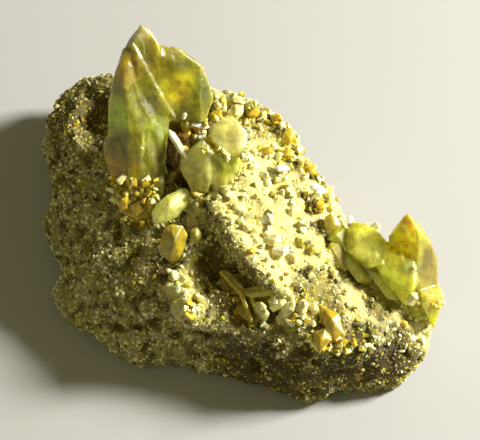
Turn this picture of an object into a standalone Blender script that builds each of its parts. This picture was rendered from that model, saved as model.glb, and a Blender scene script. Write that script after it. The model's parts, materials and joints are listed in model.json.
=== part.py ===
"""Titanite crystals grown on a loose piece of granular rock, about 48 mm long.

Lengths are in millimetres and turn into metres where a mesh is made. X runs to the right
and Y to the back. The rock lies on the plane Z = 0 with a flat face. A crystal is one or
more convex pieces grown together. A large piece is a block cut along its outline and by
its faces, and a small one is the hull of its own corners. Both are given across the
crystal, along it and out of its front face.
"""

import math
import random

import bmesh
import bpy
from mathutils import Euler, Matrix, Vector
from mathutils.bvhtree import BVHTree
from mathutils.geometry import delaunay_2d_cdt

MM = 0.001
GAP = 0.3  # clearance round the root of each crystal
SAME_POINT = 0.0005  # corners nearer than this are one corner
MENDING_ROUNDS = 3

# The lower edge of the rock from the left end round the front to the right end:
# x, y, height of the widest line, height of the shoulder above it.
FRONT_EDGE = [
    (-23.7, 13.4, 5.5, 8.5),
    (-23.0, 9.0, 5.0, 8.0),
    (-22.7, 6.1, 5.0, 7.5),
    (-23.9, 3.3, 4.5, 7.0),
    (-23.3, 0.3, 4.0, 6.8),
    (-21.5, -2.0, 4.0, 7.0),
    (-22.5, -5.1, 3.5, 6.2),
    (-21.8, -8.2, 3.2, 5.8),
    (-19.7, -10.2, 3.0, 5.6),
    (-17.7, -11.2, 2.8, 5.6),
    (-15.3, -13.3, 2.6, 5.8),
    (-12.5, -14.9, 2.5, 6.2),
    (-7.6, -15.2, 2.5, 7.0),
    (-2.5, -16.4, 2.5, 8.0),
    (2.8, -17.9, 2.5, 8.6),
    (7.4, -19.9, 2.5, 9.0),
    (12.9, -18.9, 2.5, 9.0),
    (17.5, -18.4, 2.5, 8.6),
    (20.2, -17.3, 2.8, 8.2),
    (22.4, -15.6, 3.0, 7.6),
    (23.4, -12.3, 3.5, 7.6),
]

# The upper edge of the rock from the right end round the back to the left end: x, y, height.
BACK_EDGE = [
    (23.0, -9.2, 8.2),
    (21.4, -5.0, 9.0),
    (18.3, -2.7, 9.4),
    (15.4, -1.6, 10.0),
    (13.2, -0.8, 11.2),
    (12.2, 1.9, 12.2),
    (10.5, 4.1, 13.0),
    (8.2, 6.7, 13.5),
    (6.8, 10.1, 14.0),
    (4.5, 13.1, 14.3),
    (1.0, 15.2, 14.4),
    (-2.9, 17.3, 14.0),
    (-6.5, 17.4, 13.0),
    (-10.7, 18.4, 12.0),
    (-14.7, 20.8, 11.0),
    (-16.7, 20.5, 10.2),
    (-18.8, 20.1, 9.6),
    (-20.7, 19.6, 9.2),
    (-22.6, 18.4, 8.4),
    (-23.4, 16.0, 7.6),
]

SHOULDER_IN = 2.1
FRONT_FOOT_IN = 1.2
BACK_FOOT_OUT = 1.2
BELLY_OUT = 2.4  # how far the back bulges below its crest, straight back
BELLY_SHARE = 0.42  # height of the back's widest line as a share of the crest
FOOT_DEPTH = 1.2  # how far the rock runs below the plane where it is cut flat

# Marks on the top of the rock between its edges: x, y, height.
TOP_MARKS = [
    # left lobe, with the low place left of the tall crystal
    (-16.7, 18.4, 9.8),
    (-19.7, 17.0, 9.2),
    (-21.0, 13.7, 9.0),
    (-18.5, 10.1, 10.0),
    (-20.3, 6.7, 9.0),
    (-21.0, 2.9, 8.2),
    (-16.7, 5.6, 10.6),
    (-17.9, 1.1, 10.0),
    (-17.0, 15.2, 8.8),
    # foot of the tall crystal
    (-13.1, 2.0, 11.6),
    (-9.5, 1.1, 12.2),
    (-10.7, -3.5, 12.0),
    (-6.3, -0.7, 13.2),
    (-4.7, -5.1, 12.6),
    (-12.5, 12.0, 12.0),
    # long slope down to the front left
    (-15.5, -3.6, 9.8),
    (-19.4, -2.9, 8.2),
    (-19.0, -7.6, 7.4),
    (-14.3, -9.7, 8.4),
    (-9.5, -11.0, 9.4),
    (-4.7, -12.8, 10.0),
    (-15.2, -11.0, 6.9),
    # ledge above the front wall
    (2.5, -15.0, 10.0),
    (7.3, -16.2, 10.2),
    (12.1, -16.0, 10.0),
    (16.9, -15.2, 9.4),
    (19.8, -14.4, 8.8),
    # right end
    (20.4, -12.0, 8.4),
    (19.0, -10.0, 8.8),
    (15.7, -11.2, 9.8),
    (11.1, -13.4, 10.8),
    (12.8, -6.1, 11.2),
    (16.9, -6.9, 9.6),
    # ridge from the right end up to the middle crystals
    (7.3, -12.8, 12.2),
    (4.9, -10.8, 13.2),
    (2.7, -7.4, 14.4),
    (0.1, -3.5, 15.6),
    (-1.6, 0.6, 16.2),
    (-3.1, 4.8, 16.4),
    # bright slope behind the ridge
    (1.3, 2.5, 16.0),
    (4.9, -2.3, 14.8),
    (8.7, -7.0, 12.8),
    (7.3, 3.3, 14.6),
    (3.7, 8.4, 15.2),
    (0.1, 11.6, 15.4),
    (10.3, -1.8, 12.6),
    # behind the tall crystal
    (-6.0, 13.4, 13.8),
]

# Hollows in the top: centre x, y, z, three radii, turn about Z in degrees.
HOLLOWS = [
    (-6.7, 7.2, 13.6, 2.0, 4.6, 4.4, 12.0),
    (-1.6, -7.6, 12.6, 2.2, 4.2, 3.0, 38.0),
    (3.2, -12.2, 11.8, 3.0, 1.7, 2.6, -12.0),
    (-17.2, 16.0, 9.6, 2.0, 2.4, 2.4, 0.0),
    (17.6, -9.4, 9.2, 2.2, 1.2, 1.8, -20.0),
    (-8.6, -7.4, 12.4, 1.6, 1.8, 2.2, 0.0),
]

VOXEL = 0.55
ROCK_TRIANGLES = 4600
COARSE_RELIEF = (4.6, 1.8)  # size and height of the broad lumps
FINE_RELIEF = (1.5, 0.75)  # size and height of the small knobs
RELIEF_MIDDLE = 0.62  # keeps the lumps inside the traced edge
WORN_ROUNDS = 3
FLOOR_BLOCK = (100.0, 10.0)  # width and depth of the block that leaves the flat face
HIGH_ABOVE = 100.0  # height that the top of the rock is looked for from

# Small crystals fused with the rock along its crest and ridge.
FUSED_CRYSTALS = 46
FUSED_SIZE = (0.8, 1.35)
FUSED_LINES = [
    ((-2.5, 16.0), (6.0, 10.5)),
    ((6.4, 9.0), (11.0, 2.0)),
    ((-2.0, 0.0), (5.0, -11.0)),
    ((0.0, 9.0), (6.0, -1.0)),
    ((-14.0, -1.5), (-9.5, -1.0)),
]
FUSED_SPREAD = 1.6
FUSED_LENGTH = 1.5  # length as a share of the width
FUSED_LEAN = 0.7

# Crystal groups: place of the root, lean from level in degrees, and their convex pieces.
# A large piece is an outline (across, along) with the faces that close it in front and at
# the back. A face is its height over the root and its slopes across and along the crystal.
# A tilt turns one piece about a line across the crystal: degrees, place of the line.
TALL_TWIN = {
    "root": (-11.9, 3.5, 12.0),
    "lean": 50.0,
    "front blade": {
        "outline": [
            (-1.9, -2.8), (2.2, -2.8), (3.4, 6.3), (3.6, 9.9), (1.1, 15.7), (-0.2, 17.3),
            (-1.8, 17.8), (-2.7, 15.5), (-3.6, 12.0), (-4.3, 8.4), (-3.9, 5.1),
        ],
        "front": [
            (3.6, 1.1, 0.0), (2.3, -0.05, -0.03), (5.07, -0.66, -0.22), (3.97, -0.58, -0.23),
            (7.6, 0.1, -0.4), (2.3, 0.05, 0.9),
        ],
        "back": [(-2.2, 0.4, 0.0), (-2.3, -0.45, 0.0), (-6.4, 0.0, 0.3)],
    },
    "left step": {
        "outline": [
            (-2.3, -2.0), (-0.4, -2.0), (-0.9, 5.6), (-2.4, 6.6), (-4.0, 6.0), (-4.3, 4.4),
            (-3.5, 1.8),
        ],
        "front": [(3.2, 0.75, -0.02), (2.4, 0.1, -0.1), (3.9, 0.0, -0.45), (2.0, 0.0, 0.8)],
        "back": [(-1.4, 0.0, 0.0)],
    },
    "back tip": {
        "outline": [
            (-1.4, 11.0), (3.0, 9.5), (3.4, 12.0), (2.5, 18.2), (1.9, 19.3), (1.2, 20.2),
            (0.5, 20.6), (-1.8, 17.7), (-2.2, 15.0),
        ],
        "front": [(1.0, 0.7, 0.0), (0.9, -0.2, 0.0), (6.5, -0.1, -0.33)],
        "back": [(-3.4, 0.2, 0.06), (-5.6, -0.3, 0.2)],
    },
    "back wedge": {
        "outline": [
            (3.4, 5.6), (6.7, 4.6), (8.9, 10.1), (9.1, 11.9), (8.4, 14.1), (7.4, 15.7),
            (5.5, 17.2), (2.2, 18.4), (1.2, 14.0), (2.0, 9.0),
        ],
        "front": [
            (-0.2, -0.05, 0.02), (6.3, -0.9, 0.0), (12.4, -0.1, -0.74), (-13.6, 0.0, 1.54),
            (4.6, -0.35, -0.2),
        ],
        "back": [(-9.4, 0.0, 0.46), (-9.6, 0.55, 0.24)],
    },
}

MIDDLE_CRYSTALS = {
    "root": (-3.5, 3.6, 15.4),
    "lean": 45.0,
    "olive wedge": {
        "outline": [
            (-1.9, -2.2), (-0.5, -2.3), (0.3, -0.4), (0.5, 0.6), (0.1, 3.9), (-0.6, 4.6),
            (-2.2, 3.3), (-3.5, 1.7), (-3.6, 0.7), (-3.1, -0.3),
        ],
        "front": [(1.75, 0.45, 0.0), (1.45, -0.6, 0.0), (3.7, -0.1, -0.7), (1.6, 0.1, 0.3)],
        "back": [(-1.4, 0.2, 0.1)],
    },
    "green wedge": {
        "outline": [
            (0.5, -2.2), (2.0, -2.6), (2.9, -1.8), (3.5, 0.4), (3.7, 1.7), (3.1, 3.0),
            (1.4, 3.4), (-0.3, 3.6), (-0.3, -0.2),
        ],
        "front": [(1.2, 0.15, 0.0), (2.6, -0.6, 0.0), (2.9, -0.1, -0.55)],
        "back": [(-1.5, 0.0, 0.1)],
    },
    "pale block": {
        "outline": [
            (0.2, 4.1), (1.9, 2.6), (4.1, 2.6), (4.7, 4.8), (3.6, 6.4), (1.4, 6.9), (0.2, 5.9),
        ],
        "front": [(1.7, 0.05, -0.15), (3.3, -0.55, 0.0), (4.6, 0.0, -0.62)],
        "back": [(-2.2, 0.0, 0.1)],
    },
}

SMALL_BLADE = {
    "root": (-6.9, 1.4, 13.4),
    "lean": 30.0,
    "blade": [
        (-3.6, -1.7, 0.9), (-3.2, -0.8, 0.9), (-1.7, 0.5, 0.9), (-0.1, 1.3, 0.6),
        (1.0, 1.2, 0.4), (1.2, 0.2, 0.4), (0.7, -1.1, 0.6), (-0.5, -2.3, 0.9),
        (-1.7, -2.8, 1.0), (-3.4, -3.1, 0.9), (-1.4, -0.8, 1.6), (-1.2, -1.0, -0.2),
        (0.5, -0.4, -1.8), (-0.4, -1.4, -1.4),
    ],
}

LOWER_CRYSTAL = {
    "root": (-7.6, -4.9, 12.0),
    "lean": 40.0,
    "wedge": [
        (-1.2, 3.1, 0.8), (-0.4, 3.5, 1.0), (1.0, 3.2, 0.8), (1.6, 2.0, 0.4),
        (1.3, 0.6, 0.4), (0.6, -1.0, 0.4), (-0.7, -1.4, 0.4), (-1.8, -0.2, 0.2),
        (-1.8, 1.3, 0.4), (0.0, 1.5, 1.6), (-0.1, 0.4, -1.0), (0.0, -2.2, -1.2),
    ],
}

ROUND_CRYSTAL = {
    "root": (-5.1, -3.6, 13.0),
    "lean": 40.0,
    "wedge": [
        (-1.0, 0.3, 0.3), (-0.6, 1.0, 0.3), (0.1, 1.3, 0.3), (0.7, 0.7, 0.3),
        (0.8, -0.3, 0.3), (0.1, -0.9, 0.3), (-0.6, -0.6, 0.3), (0.0, 0.4, 1.0),
        (0.0, -0.3, -1.4),
    ],
}

RIGHT_CRYSTALS = {
    "root": (20.5, -8.3, 9.5),
    "lean": 50.0,
    "tall wedge": {
        "outline": [
            (-1.2, -3.5), (2.4, -4.4), (3.3, -2.5), (3.5, 0.0), (3.5, 1.6), (2.8, 4.6),
            (2.2, 6.2), (1.3, 7.4), (-0.2, 9.1), (-0.6, 8.9), (-2.8, 6.0), (-2.6, 3.8),
        ],
        "front": [(0.9, 0.79, 0.0), (2.54, -0.84, 0.0), (6.5, 0.0, -0.65)],
        "back": [(-3.2, 0.0, 0.2), (-3.9, -0.7, 0.1)],
    },
    "hazy blade": {
        "tilt": (-35.0, 2.5),
        "outline": [
            (-7.2, 3.6), (-5.4, 2.0), (-3.0, 2.6), (-2.2, 4.4), (-2.6, 5.3), (-3.4, 6.3),
            (-4.3, 7.0), (-5.3, 7.5), (-7.3, 7.6), (-7.7, 6.0),
        ],
        "front": [(2.2, 0.05, -0.1), (5.9, 0.0, -0.66), (5.7, 0.65, 0.0)],
        "back": [(-1.3, 0.0, 0.05)],
    },
    "green blade": {
        "tilt": (-20.0, -1.0),
        "outline": [
            (-4.7, 2.4), (-4.1, 1.0), (-2.9, -0.3), (-1.1, -2.1), (-0.2, -2.7), (0.9, -1.0),
            (1.1, 1.4), (0.7, 3.0), (-2.2, 4.6), (-4.3, 4.4),
        ],
        "front": [
            (3.2, 0.12, -0.05), (3.6, 0.45, 0.45), (5.0, 0.0, -0.6), (3.6, -0.9, 0.0),
        ],
        "back": [(-1.1, 0.0, 0.0)],
    },
    "yellow foot": {
        "outline": [
            (1.3, -2.7), (2.2, -4.6), (3.2, -4.4), (3.7, -2.7), (3.6, -0.1), (1.6, 0.2),
        ],
        "front": [(3.2, -0.4, 0.0), (1.6, 0.3, -0.2)],
        "back": [(-1.5, 0.0, 0.0)],
    },
}

SADDLE_CRYSTAL = {
    "root": (11.5, -2.1, 12.0),
    "lean": 45.0,
    "wedge": [
        (-1.3, 1.8, 0.4), (-0.4, 2.3, 0.6), (0.7, 1.4, 0.6), (1.3, 0.5, 0.5),
        (1.4, -0.6, 0.4), (0.5, -0.8, 0.6), (-0.8, -0.5, 0.6), (-1.4, 0.6, 0.4),
        (0.0, 1.0, 1.3), (0.0, 0.3, -1.2), (0.1, -2.0, -1.0),
    ],
}

LEDGE_CRYSTALS = {
    "root": (10.6, -16.2, 9.8),
    "lean": 20.0,
    "upper wedge": [
        (-0.9, 4.6, 0.2), (1.4, 3.4, 0.4), (2.1, 0.8, 0.5), (0.8, 0.2, 0.7),
        (-0.4, 1.8, 0.8), (0.6, 2.6, 1.3), (0.6, 2.4, -1.2), (0.4, 0.6, -1.4),
    ],
    "point": [
        (-1.8, 1.2, 0.3), (-0.2, 1.6, 0.7), (0.6, 0.2, 0.7), (-0.3, -0.6, 0.4),
        (-1.0, -1.5, 0.4), (-1.5, -0.4, 0.3), (-0.8, 0.2, 1.2), (-0.6, 0.4, -1.2),
    ],
}

# Crust lining the cavity beside the tall crystal.
CAVITY_CRUST = {
    "root": (-6.4, 9.5, 13.4),
    "lean": 24.0,
    "backing": [
        (-1.8, 2.8, -0.3), (2.8, 2.2, 0.0), (1.8, 0.0, -0.2), (0.3, -3.8, -1.4),
        (-1.2, -5.6, -1.8), (-2.2, -1.2, -0.6), (-1.4, 2.6, -1.4), (2.2, 1.8, -1.2),
        (0.2, -3.4, -2.6), (-1.2, -5.0, -2.8),
    ],
    "long white blade": [
        (-1.9, 1.1, 0.5), (-1.1, 1.2, 0.8), (0.0, -1.4, 0.7), (-0.7, -2.0, 0.3),
        (-1.8, -0.2, 0.3), (-1.5, 0.6, -1.2), (-0.5, -1.2, -1.4),
    ],
    "brown block": [
        (-1.4, 2.5, 0.4), (0.1, 2.9, 0.8), (0.9, 1.2, 0.4), (0.2, 0.0, 0.3),
        (-0.8, 0.6, 0.6), (-0.6, 1.6, -1.0), (0.2, 0.8, -1.0),
    ],
    "right block": [
        (0.8, 2.4, 0.7), (2.0, 2.3, 0.9), (2.8, 1.4, 0.5), (1.4, 0.7, 0.4),
        (0.7, 1.2, 0.7), (1.6, 1.6, -0.9),
    ],
    "small block": [
        (0.9, 0.6, 0.5), (1.6, 0.4, 0.6), (1.5, -0.4, 0.2), (0.8, -0.4, 0.4),
        (1.2, 0.1, -1.0),
    ],
    "low olive crystal": [
        (-1.7, -3.8, -0.2), (-0.7, -3.3, 0.1), (-0.1, -4.6, -0.4), (-0.5, -5.4, -0.8),
        (-1.5, -5.2, -0.8), (-1.0, -4.3, 0.2), (-0.9, -4.4, -2.3),
    ],
}

# Thin blades standing in the hollow in the middle of the top.
HOLLOW_CRUST = {
    "root": (0.4, -9.6, 10.6),
    "lean": 12.0,
    "backing": [
        (-2.8, 2.6, -0.3), (0.4, 2.2, -0.3), (3.6, 0.6, -0.2), (3.8, -2.0, -0.2),
        (1.5, -4.6, -0.2), (-0.6, -2.8, -0.3), (-2.6, 0.4, -0.3), (-1.6, 1.8, -1.2),
        (3.0, 0.0, -1.2), (1.4, -3.6, -1.2), (-1.4, 0.2, -1.2),
    ],
    "upper blade": [
        (-2.7, 2.0, 1.0), (-2.3, 2.3, 1.1), (-0.6, -0.6, 1.3), (-0.2, -0.3, 1.4),
        (-2.6, 2.0, -0.8), (-2.3, 2.2, -0.8), (-0.7, -0.7, -0.8), (-0.3, -0.4, -0.8),
    ],
    "lower blade": [
        (-0.5, -0.5, 1.3), (0.0, -0.3, 1.4), (1.4, -4.1, 0.8), (1.0, -4.3, 0.7),
        (-0.5, -0.5, -0.8), (0.0, -0.3, -0.8), (1.0, -3.9, -0.8), (1.4, -3.7, -0.8),
    ],
    "side blade": [
        (-0.3, -0.3, 1.3), (1.4, 0.3, 1.2), (2.8, 0.1, 0.9), (3.4, -0.8, 0.7),
        (2.3, -1.0, 0.9), (0.4, -1.1, 1.1), (0.4, -0.4, -0.8), (2.6, -0.4, -0.8),
    ],
    "white block": [
        (1.7, -2.0, 0.6), (2.4, -1.9, 0.7), (2.5, -3.4, 0.5), (1.7, -3.5, 0.4),
        (1.9, -2.4, -0.8), (2.2, -3.0, -0.8),
    ],
}

# Small amber crystals at the foot of the tall crystal.
FOOT_CRUST = {
    "root": (-12.0, 0.9, 12.1),
    "lean": 18.0,
    "backing": [
        (-2.6, 0.8, 0.2), (2.4, 1.0, 0.2), (2.6, -0.8, 0.2), (0.0, -1.6, 0.1),
        (-2.2, -0.6, 0.1), (-2.0, 0.4, -0.9), (2.0, 0.4, -0.9), (0.0, -0.8, -0.9),
    ],
    "left block": [
        (-2.5, 0.7, 0.9), (-1.5, 0.9, 1.2), (-1.2, -0.3, 0.8), (-2.1, -0.5, 0.5),
        (-1.8, 0.2, -0.2), (-1.4, 0.2, -0.2),
    ],
    "middle block": [
        (-1.0, 0.3, 0.8), (0.1, 0.7, 1.3), (0.7, -0.4, 0.8), (-0.3, -1.3, 0.5),
        (-0.9, -0.7, 0.5), (0.0, -0.2, -0.3),
    ],
    "right block": [
        (0.9, 0.9, 1.0), (2.1, 0.7, 0.9), (2.3, -0.5, 0.4), (1.1, -0.7, 0.6),
        (1.6, 0.1, 1.4), (1.6, 0.1, -0.3),
    ],
}

# Single small crystals on the crest: x, y, length, width, turn and lean in degrees, colour.
RIDGE_CRYSTALS = [
    (-2.7, 12.2, 2.3, 1.7, 30.0, 40.0, "amber"),
    (-0.2, 12.9, 2.2, 1.8, 100.0, 55.0, "cream"),
    (1.8, 12.4, 2.0, 1.5, 60.0, 50.0, "amber"),
    (4.5, 12.0, 2.2, 1.5, 20.0, 35.0, "amber"),
    (6.0, 9.6, 2.3, 1.6, 140.0, 45.0, "amber"),
    (5.9, 7.0, 1.9, 1.4, 80.0, 60.0, "amber"),
    (3.4, 7.0, 2.1, 1.4, 10.0, 30.0, "amber"),
    (5.1, 4.6, 1.7, 1.3, 50.0, 50.0, "cream"),
    (8.7, 5.2, 2.0, 1.4, 120.0, 50.0, "amber"),
    (10.7, 2.8, 2.2, 1.6, 75.0, 40.0, "cream"),
    (9.8, 0.7, 1.9, 1.4, 15.0, 55.0, "amber"),
]
RIDGE_LIFT = 0.09  # share of its length that a small crystal's middle stands over the rock

# Corners of a small wedge-shaped crystal with a sharp upper edge, standing on its root, as
# shares of half its width, half its width and its length.
WEDGE = [
    (-0.8, 0.0, -0.5),
    (0.7, -0.5, -0.5),
    (0.4, 0.7, -0.5),
    (-1.0, -0.5, 0.1),
    (1.0, -0.7, 0.0),
    (0.8, 0.7, 0.15),
    (-0.7, 0.8, 0.05),
    (-0.4, -0.1, 0.42),
    (0.5, 0.0, 0.5),
]

BLOCK = 80.0  # side of the block that a large crystal is cut from
SIDE_SLANTS = (0.22, -0.18, 0.1, -0.26)  # how far the narrow side faces lean, in turn

COLOURS = {
    "rock": ((0.42, 0.38, 0.19), 0.85),
    "green": ((0.47, 0.50, 0.09), 0.25),
    "olive": ((0.52, 0.50, 0.16), 0.30),
    "amber": ((0.58, 0.36, 0.04), 0.30),
    "cream": ((0.80, 0.74, 0.42), 0.40),
    "brown": ((0.30, 0.17, 0.04), 0.45),
}


def clear_scene():
    for obj in list(bpy.data.objects):
        bpy.data.objects.remove(obj, do_unlink=True)


def make_materials():
    materials = {}
    for name, (colour, roughness) in COLOURS.items():
        material = bpy.data.materials.new(name)
        material.use_nodes = True
        shader = material.node_tree.nodes["Principled BSDF"]
        shader.inputs["Base Color"].default_value = (*colour, 1.0)
        shader.inputs["Roughness"].default_value = roughness
        shader.inputs["Metallic"].default_value = 0.0
        materials[name] = material
    return materials


def add_object(name, mesh):
    obj = bpy.data.objects.new(name, mesh)
    bpy.context.scene.collection.objects.link(obj)
    return obj


def add_helper(name, mesh):
    """An object that only cuts or joins others."""
    obj = add_object(name, mesh)
    obj.hide_render = True
    obj.display_type = "WIRE"
    return obj


def finished_mesh(obj):
    """The object's mesh with its modifiers applied."""
    graph = bpy.context.evaluated_depsgraph_get()
    return bpy.data.meshes.new_from_object(obj.evaluated_get(graph))


def hull_mesh(name, corners):
    bm = bmesh.new()
    for corner in corners:
        bm.verts.new(corner)
    hull = bmesh.ops.convex_hull(bm, input=bm.verts)
    inside = [part for part in hull["geom_interior"] if isinstance(part, bmesh.types.BMVert)]
    bmesh.ops.delete(bm, geom=inside, context="VERTS")
    bmesh.ops.recalc_face_normals(bm, faces=bm.faces)
    mesh = bpy.data.meshes.new(name)
    bm.to_mesh(mesh)
    bm.free()
    return mesh


def grown(corners, gap):
    """Corners of the same hull with a cube of this gap carried round it."""
    if gap == 0.0:
        return corners
    steps = (-gap, gap)
    cube = [Vector((x, y, z)) for x in steps for y in steps for z in steps]
    return [corner + step for corner in corners for step in cube]


def largest_island(bm):
    """Keeps the largest set of faces that are joined by their edges."""
    left = set(bm.faces)
    islands = []
    while left:
        island = [left.pop()]
        for face in island:
            for edge in face.edges:
                joined = left.intersection(edge.link_faces)
                left -= joined
                island.extend(joined)
        islands.append(island)
    islands.sort(key=len)
    for island in islands[:-1]:
        bmesh.ops.delete(bm, geom=island, context="FACES")


def mend_pinches(bm):
    """Opens the surface where four faces meet at one edge and closes it with flat patches."""
    for _ in range(MENDING_ROUNDS):
        pinched = [edge for edge in bm.edges if len(edge.link_faces) > 2]
        around = {face for edge in pinched for vert in edge.verts for face in vert.link_faces}
        bmesh.ops.delete(bm, geom=list(around), context="FACES")
        open_edges = [edge for edge in bm.edges if edge.is_boundary]
        bmesh.ops.holes_fill(bm, edges=open_edges, sides=0)


def clean_mesh(mesh):
    """Joins doubled corners, keeps the one body and leaves triangles."""
    bm = bmesh.new()
    bm.from_mesh(mesh)
    bmesh.ops.remove_doubles(bm, verts=bm.verts, dist=SAME_POINT * MM)
    bmesh.ops.dissolve_degenerate(bm, edges=bm.edges, dist=SAME_POINT * MM)
    mend_pinches(bm)
    largest_island(bm)
    bmesh.ops.triangulate(bm, faces=bm.faces)
    bm.to_mesh(mesh)
    bm.free()


def cut_corners(piece, gap):
    """Corners of a block cut along its outline and its faces, each moved out by the gap."""
    outline = [Vector((across, along, 0.0)) for across, along in piece["outline"]]
    planes = []
    for index, start in enumerate(outline):
        edge = outline[(index + 1) % len(outline)] - start
        slant = SIDE_SLANTS[index % len(SIDE_SLANTS)] * edge.length
        planes.append((start, Vector((edge.y, -edge.x, slant))))
    for height, across, along in piece["front"]:
        planes.append((Vector((0.0, 0.0, height)), Vector((-across, -along, 1.0))))
    for height, across, along in piece["back"]:
        planes.append((Vector((0.0, 0.0, height)), Vector((across, along, -1.0))))
    bm = bmesh.new()
    bmesh.ops.create_cube(bm, size=BLOCK)
    for point, normal in planes:
        everything = bm.verts[:] + bm.edges[:] + bm.faces[:]
        cut = bmesh.ops.bisect_plane(
            bm,
            geom=everything,
            plane_co=point + normal.normalized() * gap,
            plane_no=normal,
            clear_outer=True,
        )
        rim = [part for part in cut["geom_cut"] if isinstance(part, bmesh.types.BMEdge)]
        if rim:
            bmesh.ops.contextual_create(bm, geom=rim)
    corners = [vert.co.copy() for vert in bm.verts]
    bm.free()
    return corners


def placed_pieces(group, gap):
    """Corners of each piece of a crystal in metres, leaned and moved to its root."""
    place = Matrix.Translation(group["root"]) @ Matrix.Rotation(
        math.radians(group["lean"]), 4, "X"
    )
    pieces = []
    for name, shape in group.items():
        if name in ("root", "lean"):
            continue
        turned = place
        if isinstance(shape, dict):
            corners = cut_corners(shape, gap)
            tilt, pivot = shape.get("tilt", (0.0, 0.0))
            hinge = Matrix.Translation((0.0, pivot, 0.0))
            tilting = Matrix.Rotation(math.radians(tilt), 4, "X")
            turned = place @ hinge @ tilting @ hinge.inverted()
        else:
            corners = grown([Vector(corner) for corner in shape], gap)
        pieces.append([turned @ corner * MM for corner in corners])
    return pieces


def wedge_corners(root, turn, length, width):
    """Corners of a small crystal in metres, turned and moved to its root."""
    half = width / 2
    shape = [Vector((x * half, y * half, z * length)) for x, y, z in WEDGE]
    return [root + turn.to_matrix() @ corner * MM for corner in shape]


class Solids:
    """The crystals that are finished, with the hulls that later pieces keep clear of."""

    def __init__(self, parent):
        self.parent = parent
        self.sockets = bpy.data.collections.new("sockets")
        bpy.context.scene.collection.children.link(self.sockets)

    def add_socket(self, name, corners):
        cutter = bpy.data.objects.new(name, hull_mesh(name, corners))
        cutter.hide_render = True
        cutter.display_type = "WIRE"
        cutter.parent = self.parent
        self.sockets.objects.link(cutter)

    def cut_clear(self, obj):
        """Cuts the sockets of everything finished out of this object."""
        if self.sockets.objects:
            cut = obj.modifiers.new("sockets", "BOOLEAN")
            cut.operation = "DIFFERENCE"
            cut.operand_type = "COLLECTION"
            cut.collection = self.sockets

    def add_crystal(self, name, pieces, sockets, material):
        """One solid from convex pieces grown together, and the sockets round them."""
        obj = add_object(name, hull_mesh(name, pieces[0]))
        helpers = []
        for corners in pieces[1:]:
            helper = add_helper(name + "_piece", hull_mesh(name, corners))
            join = obj.modifiers.new("grown together", "BOOLEAN")
            join.operation = "UNION"
            join.object = helper
            helpers.append(helper)
        self.cut_clear(obj)
        mesh = finished_mesh(obj)
        clean_mesh(mesh)
        obj.modifiers.clear()
        obj.data = mesh
        for helper in helpers:
            bpy.data.objects.remove(helper, do_unlink=True)
        finish_object(obj, material, self.parent)
        for number, corners in enumerate(sockets):
            self.add_socket(f"{name}_socket_{number + 1}", corners)
        return obj


def finish_object(obj, material, parent):
    obj.data.materials.clear()
    obj.data.materials.append(material)
    obj.parent = parent


def ring_normals(points):
    """Outward direction in the plane at each point of a ring that runs anticlockwise."""
    normals = []
    for index, point in enumerate(points):
        before = points[index - 1]
        after = points[(index + 1) % len(points)]
        along = (after - before).normalized()
        normals.append(Vector((along.y, -along.x)))
    return normals


def rock_rings():
    """Three rings round the rock: its foot, its widest line and its shoulder."""
    edge = [Vector(row[:2]) for row in FRONT_EDGE + BACK_EDGE]
    normals = ring_normals(edge)
    foot, belly, shoulder = [], [], []
    for index, (point, out) in enumerate(zip(edge, normals)):
        if index < len(FRONT_EDGE):
            _, _, widest, upper = FRONT_EDGE[index]
            foot.append((point - out * FRONT_FOOT_IN).to_3d() - Vector((0, 0, FOOT_DEPTH)))
            belly.append(Vector((*point, widest)))
            shoulder.append(Vector((*(point - out * SHOULDER_IN), upper)))
        else:
            crest = BACK_EDGE[index - len(FRONT_EDGE)][2]
            back = Vector((0.0, max(out.y, 0.0)))
            foot.append((point + back * BACK_FOOT_OUT).to_3d() - Vector((0, 0, FOOT_DEPTH)))
            belly.append(Vector((*(point + back * BELLY_OUT), crest * BELLY_SHARE)))
            shoulder.append(Vector((*point, crest)))
    return foot, belly, shoulder


def rock_cage():
    """The rock as broad flat facets between its rings and the marks on its top."""
    foot, belly, shoulder = rock_rings()
    count = len(foot)
    bm = bmesh.new()
    rings = [[bm.verts.new(point * MM) for point in ring] for ring in (foot, belly, shoulder)]
    bm.faces.new(reversed(rings[0]))
    for lower, upper in zip(rings, rings[1:]):
        for index in range(count):
            after = (index + 1) % count
            bm.faces.new((lower[index], lower[after], upper[after], upper[index]))
    marks = [Vector(mark) for mark in TOP_MARKS]
    flat = [point.to_2d() for point in shoulder + marks]
    found = delaunay_2d_cdt(flat, [], [list(range(count))], 1, 0.001)
    triangles = found[2]
    sources = found[3]
    top = rings[2] + [bm.verts.new(mark * MM) for mark in marks]
    for triangle in triangles:
        bm.faces.new([top[sources[corner][0]] for corner in triangle])
    loose = [vert for vert in bm.verts if not vert.link_faces]
    bmesh.ops.delete(bm, geom=loose, context="VERTS")
    bmesh.ops.recalc_face_normals(bm, faces=bm.faces)
    mesh = bpy.data.meshes.new("rock")
    bm.to_mesh(mesh)
    bm.free()
    return mesh


def hollow_cutter(number, row):
    x, y, z, radius_x, radius_y, radius_z, turn = row
    bm = bmesh.new()
    shape = (
        Matrix.Translation(Vector((x, y, z)) * MM)
        @ Matrix.Rotation(math.radians(turn), 4, "Z")
        @ Matrix.Diagonal((radius_x * MM, radius_y * MM, radius_z * MM, 1.0))
    )
    bmesh.ops.create_icosphere(bm, subdivisions=3, radius=1.0, matrix=shape)
    mesh = bpy.data.meshes.new("hollow")
    bm.to_mesh(mesh)
    bm.free()
    return add_helper(f"hollow_cutter_{number}", mesh)


def add_relief(obj, name, size, height):
    texture = bpy.data.textures.new(name, "CLOUDS")
    texture.noise_scale = size * MM
    texture.noise_depth = 2
    relief = obj.modifiers.new(name, "DISPLACE")
    relief.texture = texture
    relief.texture_coords = "LOCAL"
    relief.strength = height * MM
    relief.mid_level = RELIEF_MIDDLE


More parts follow.
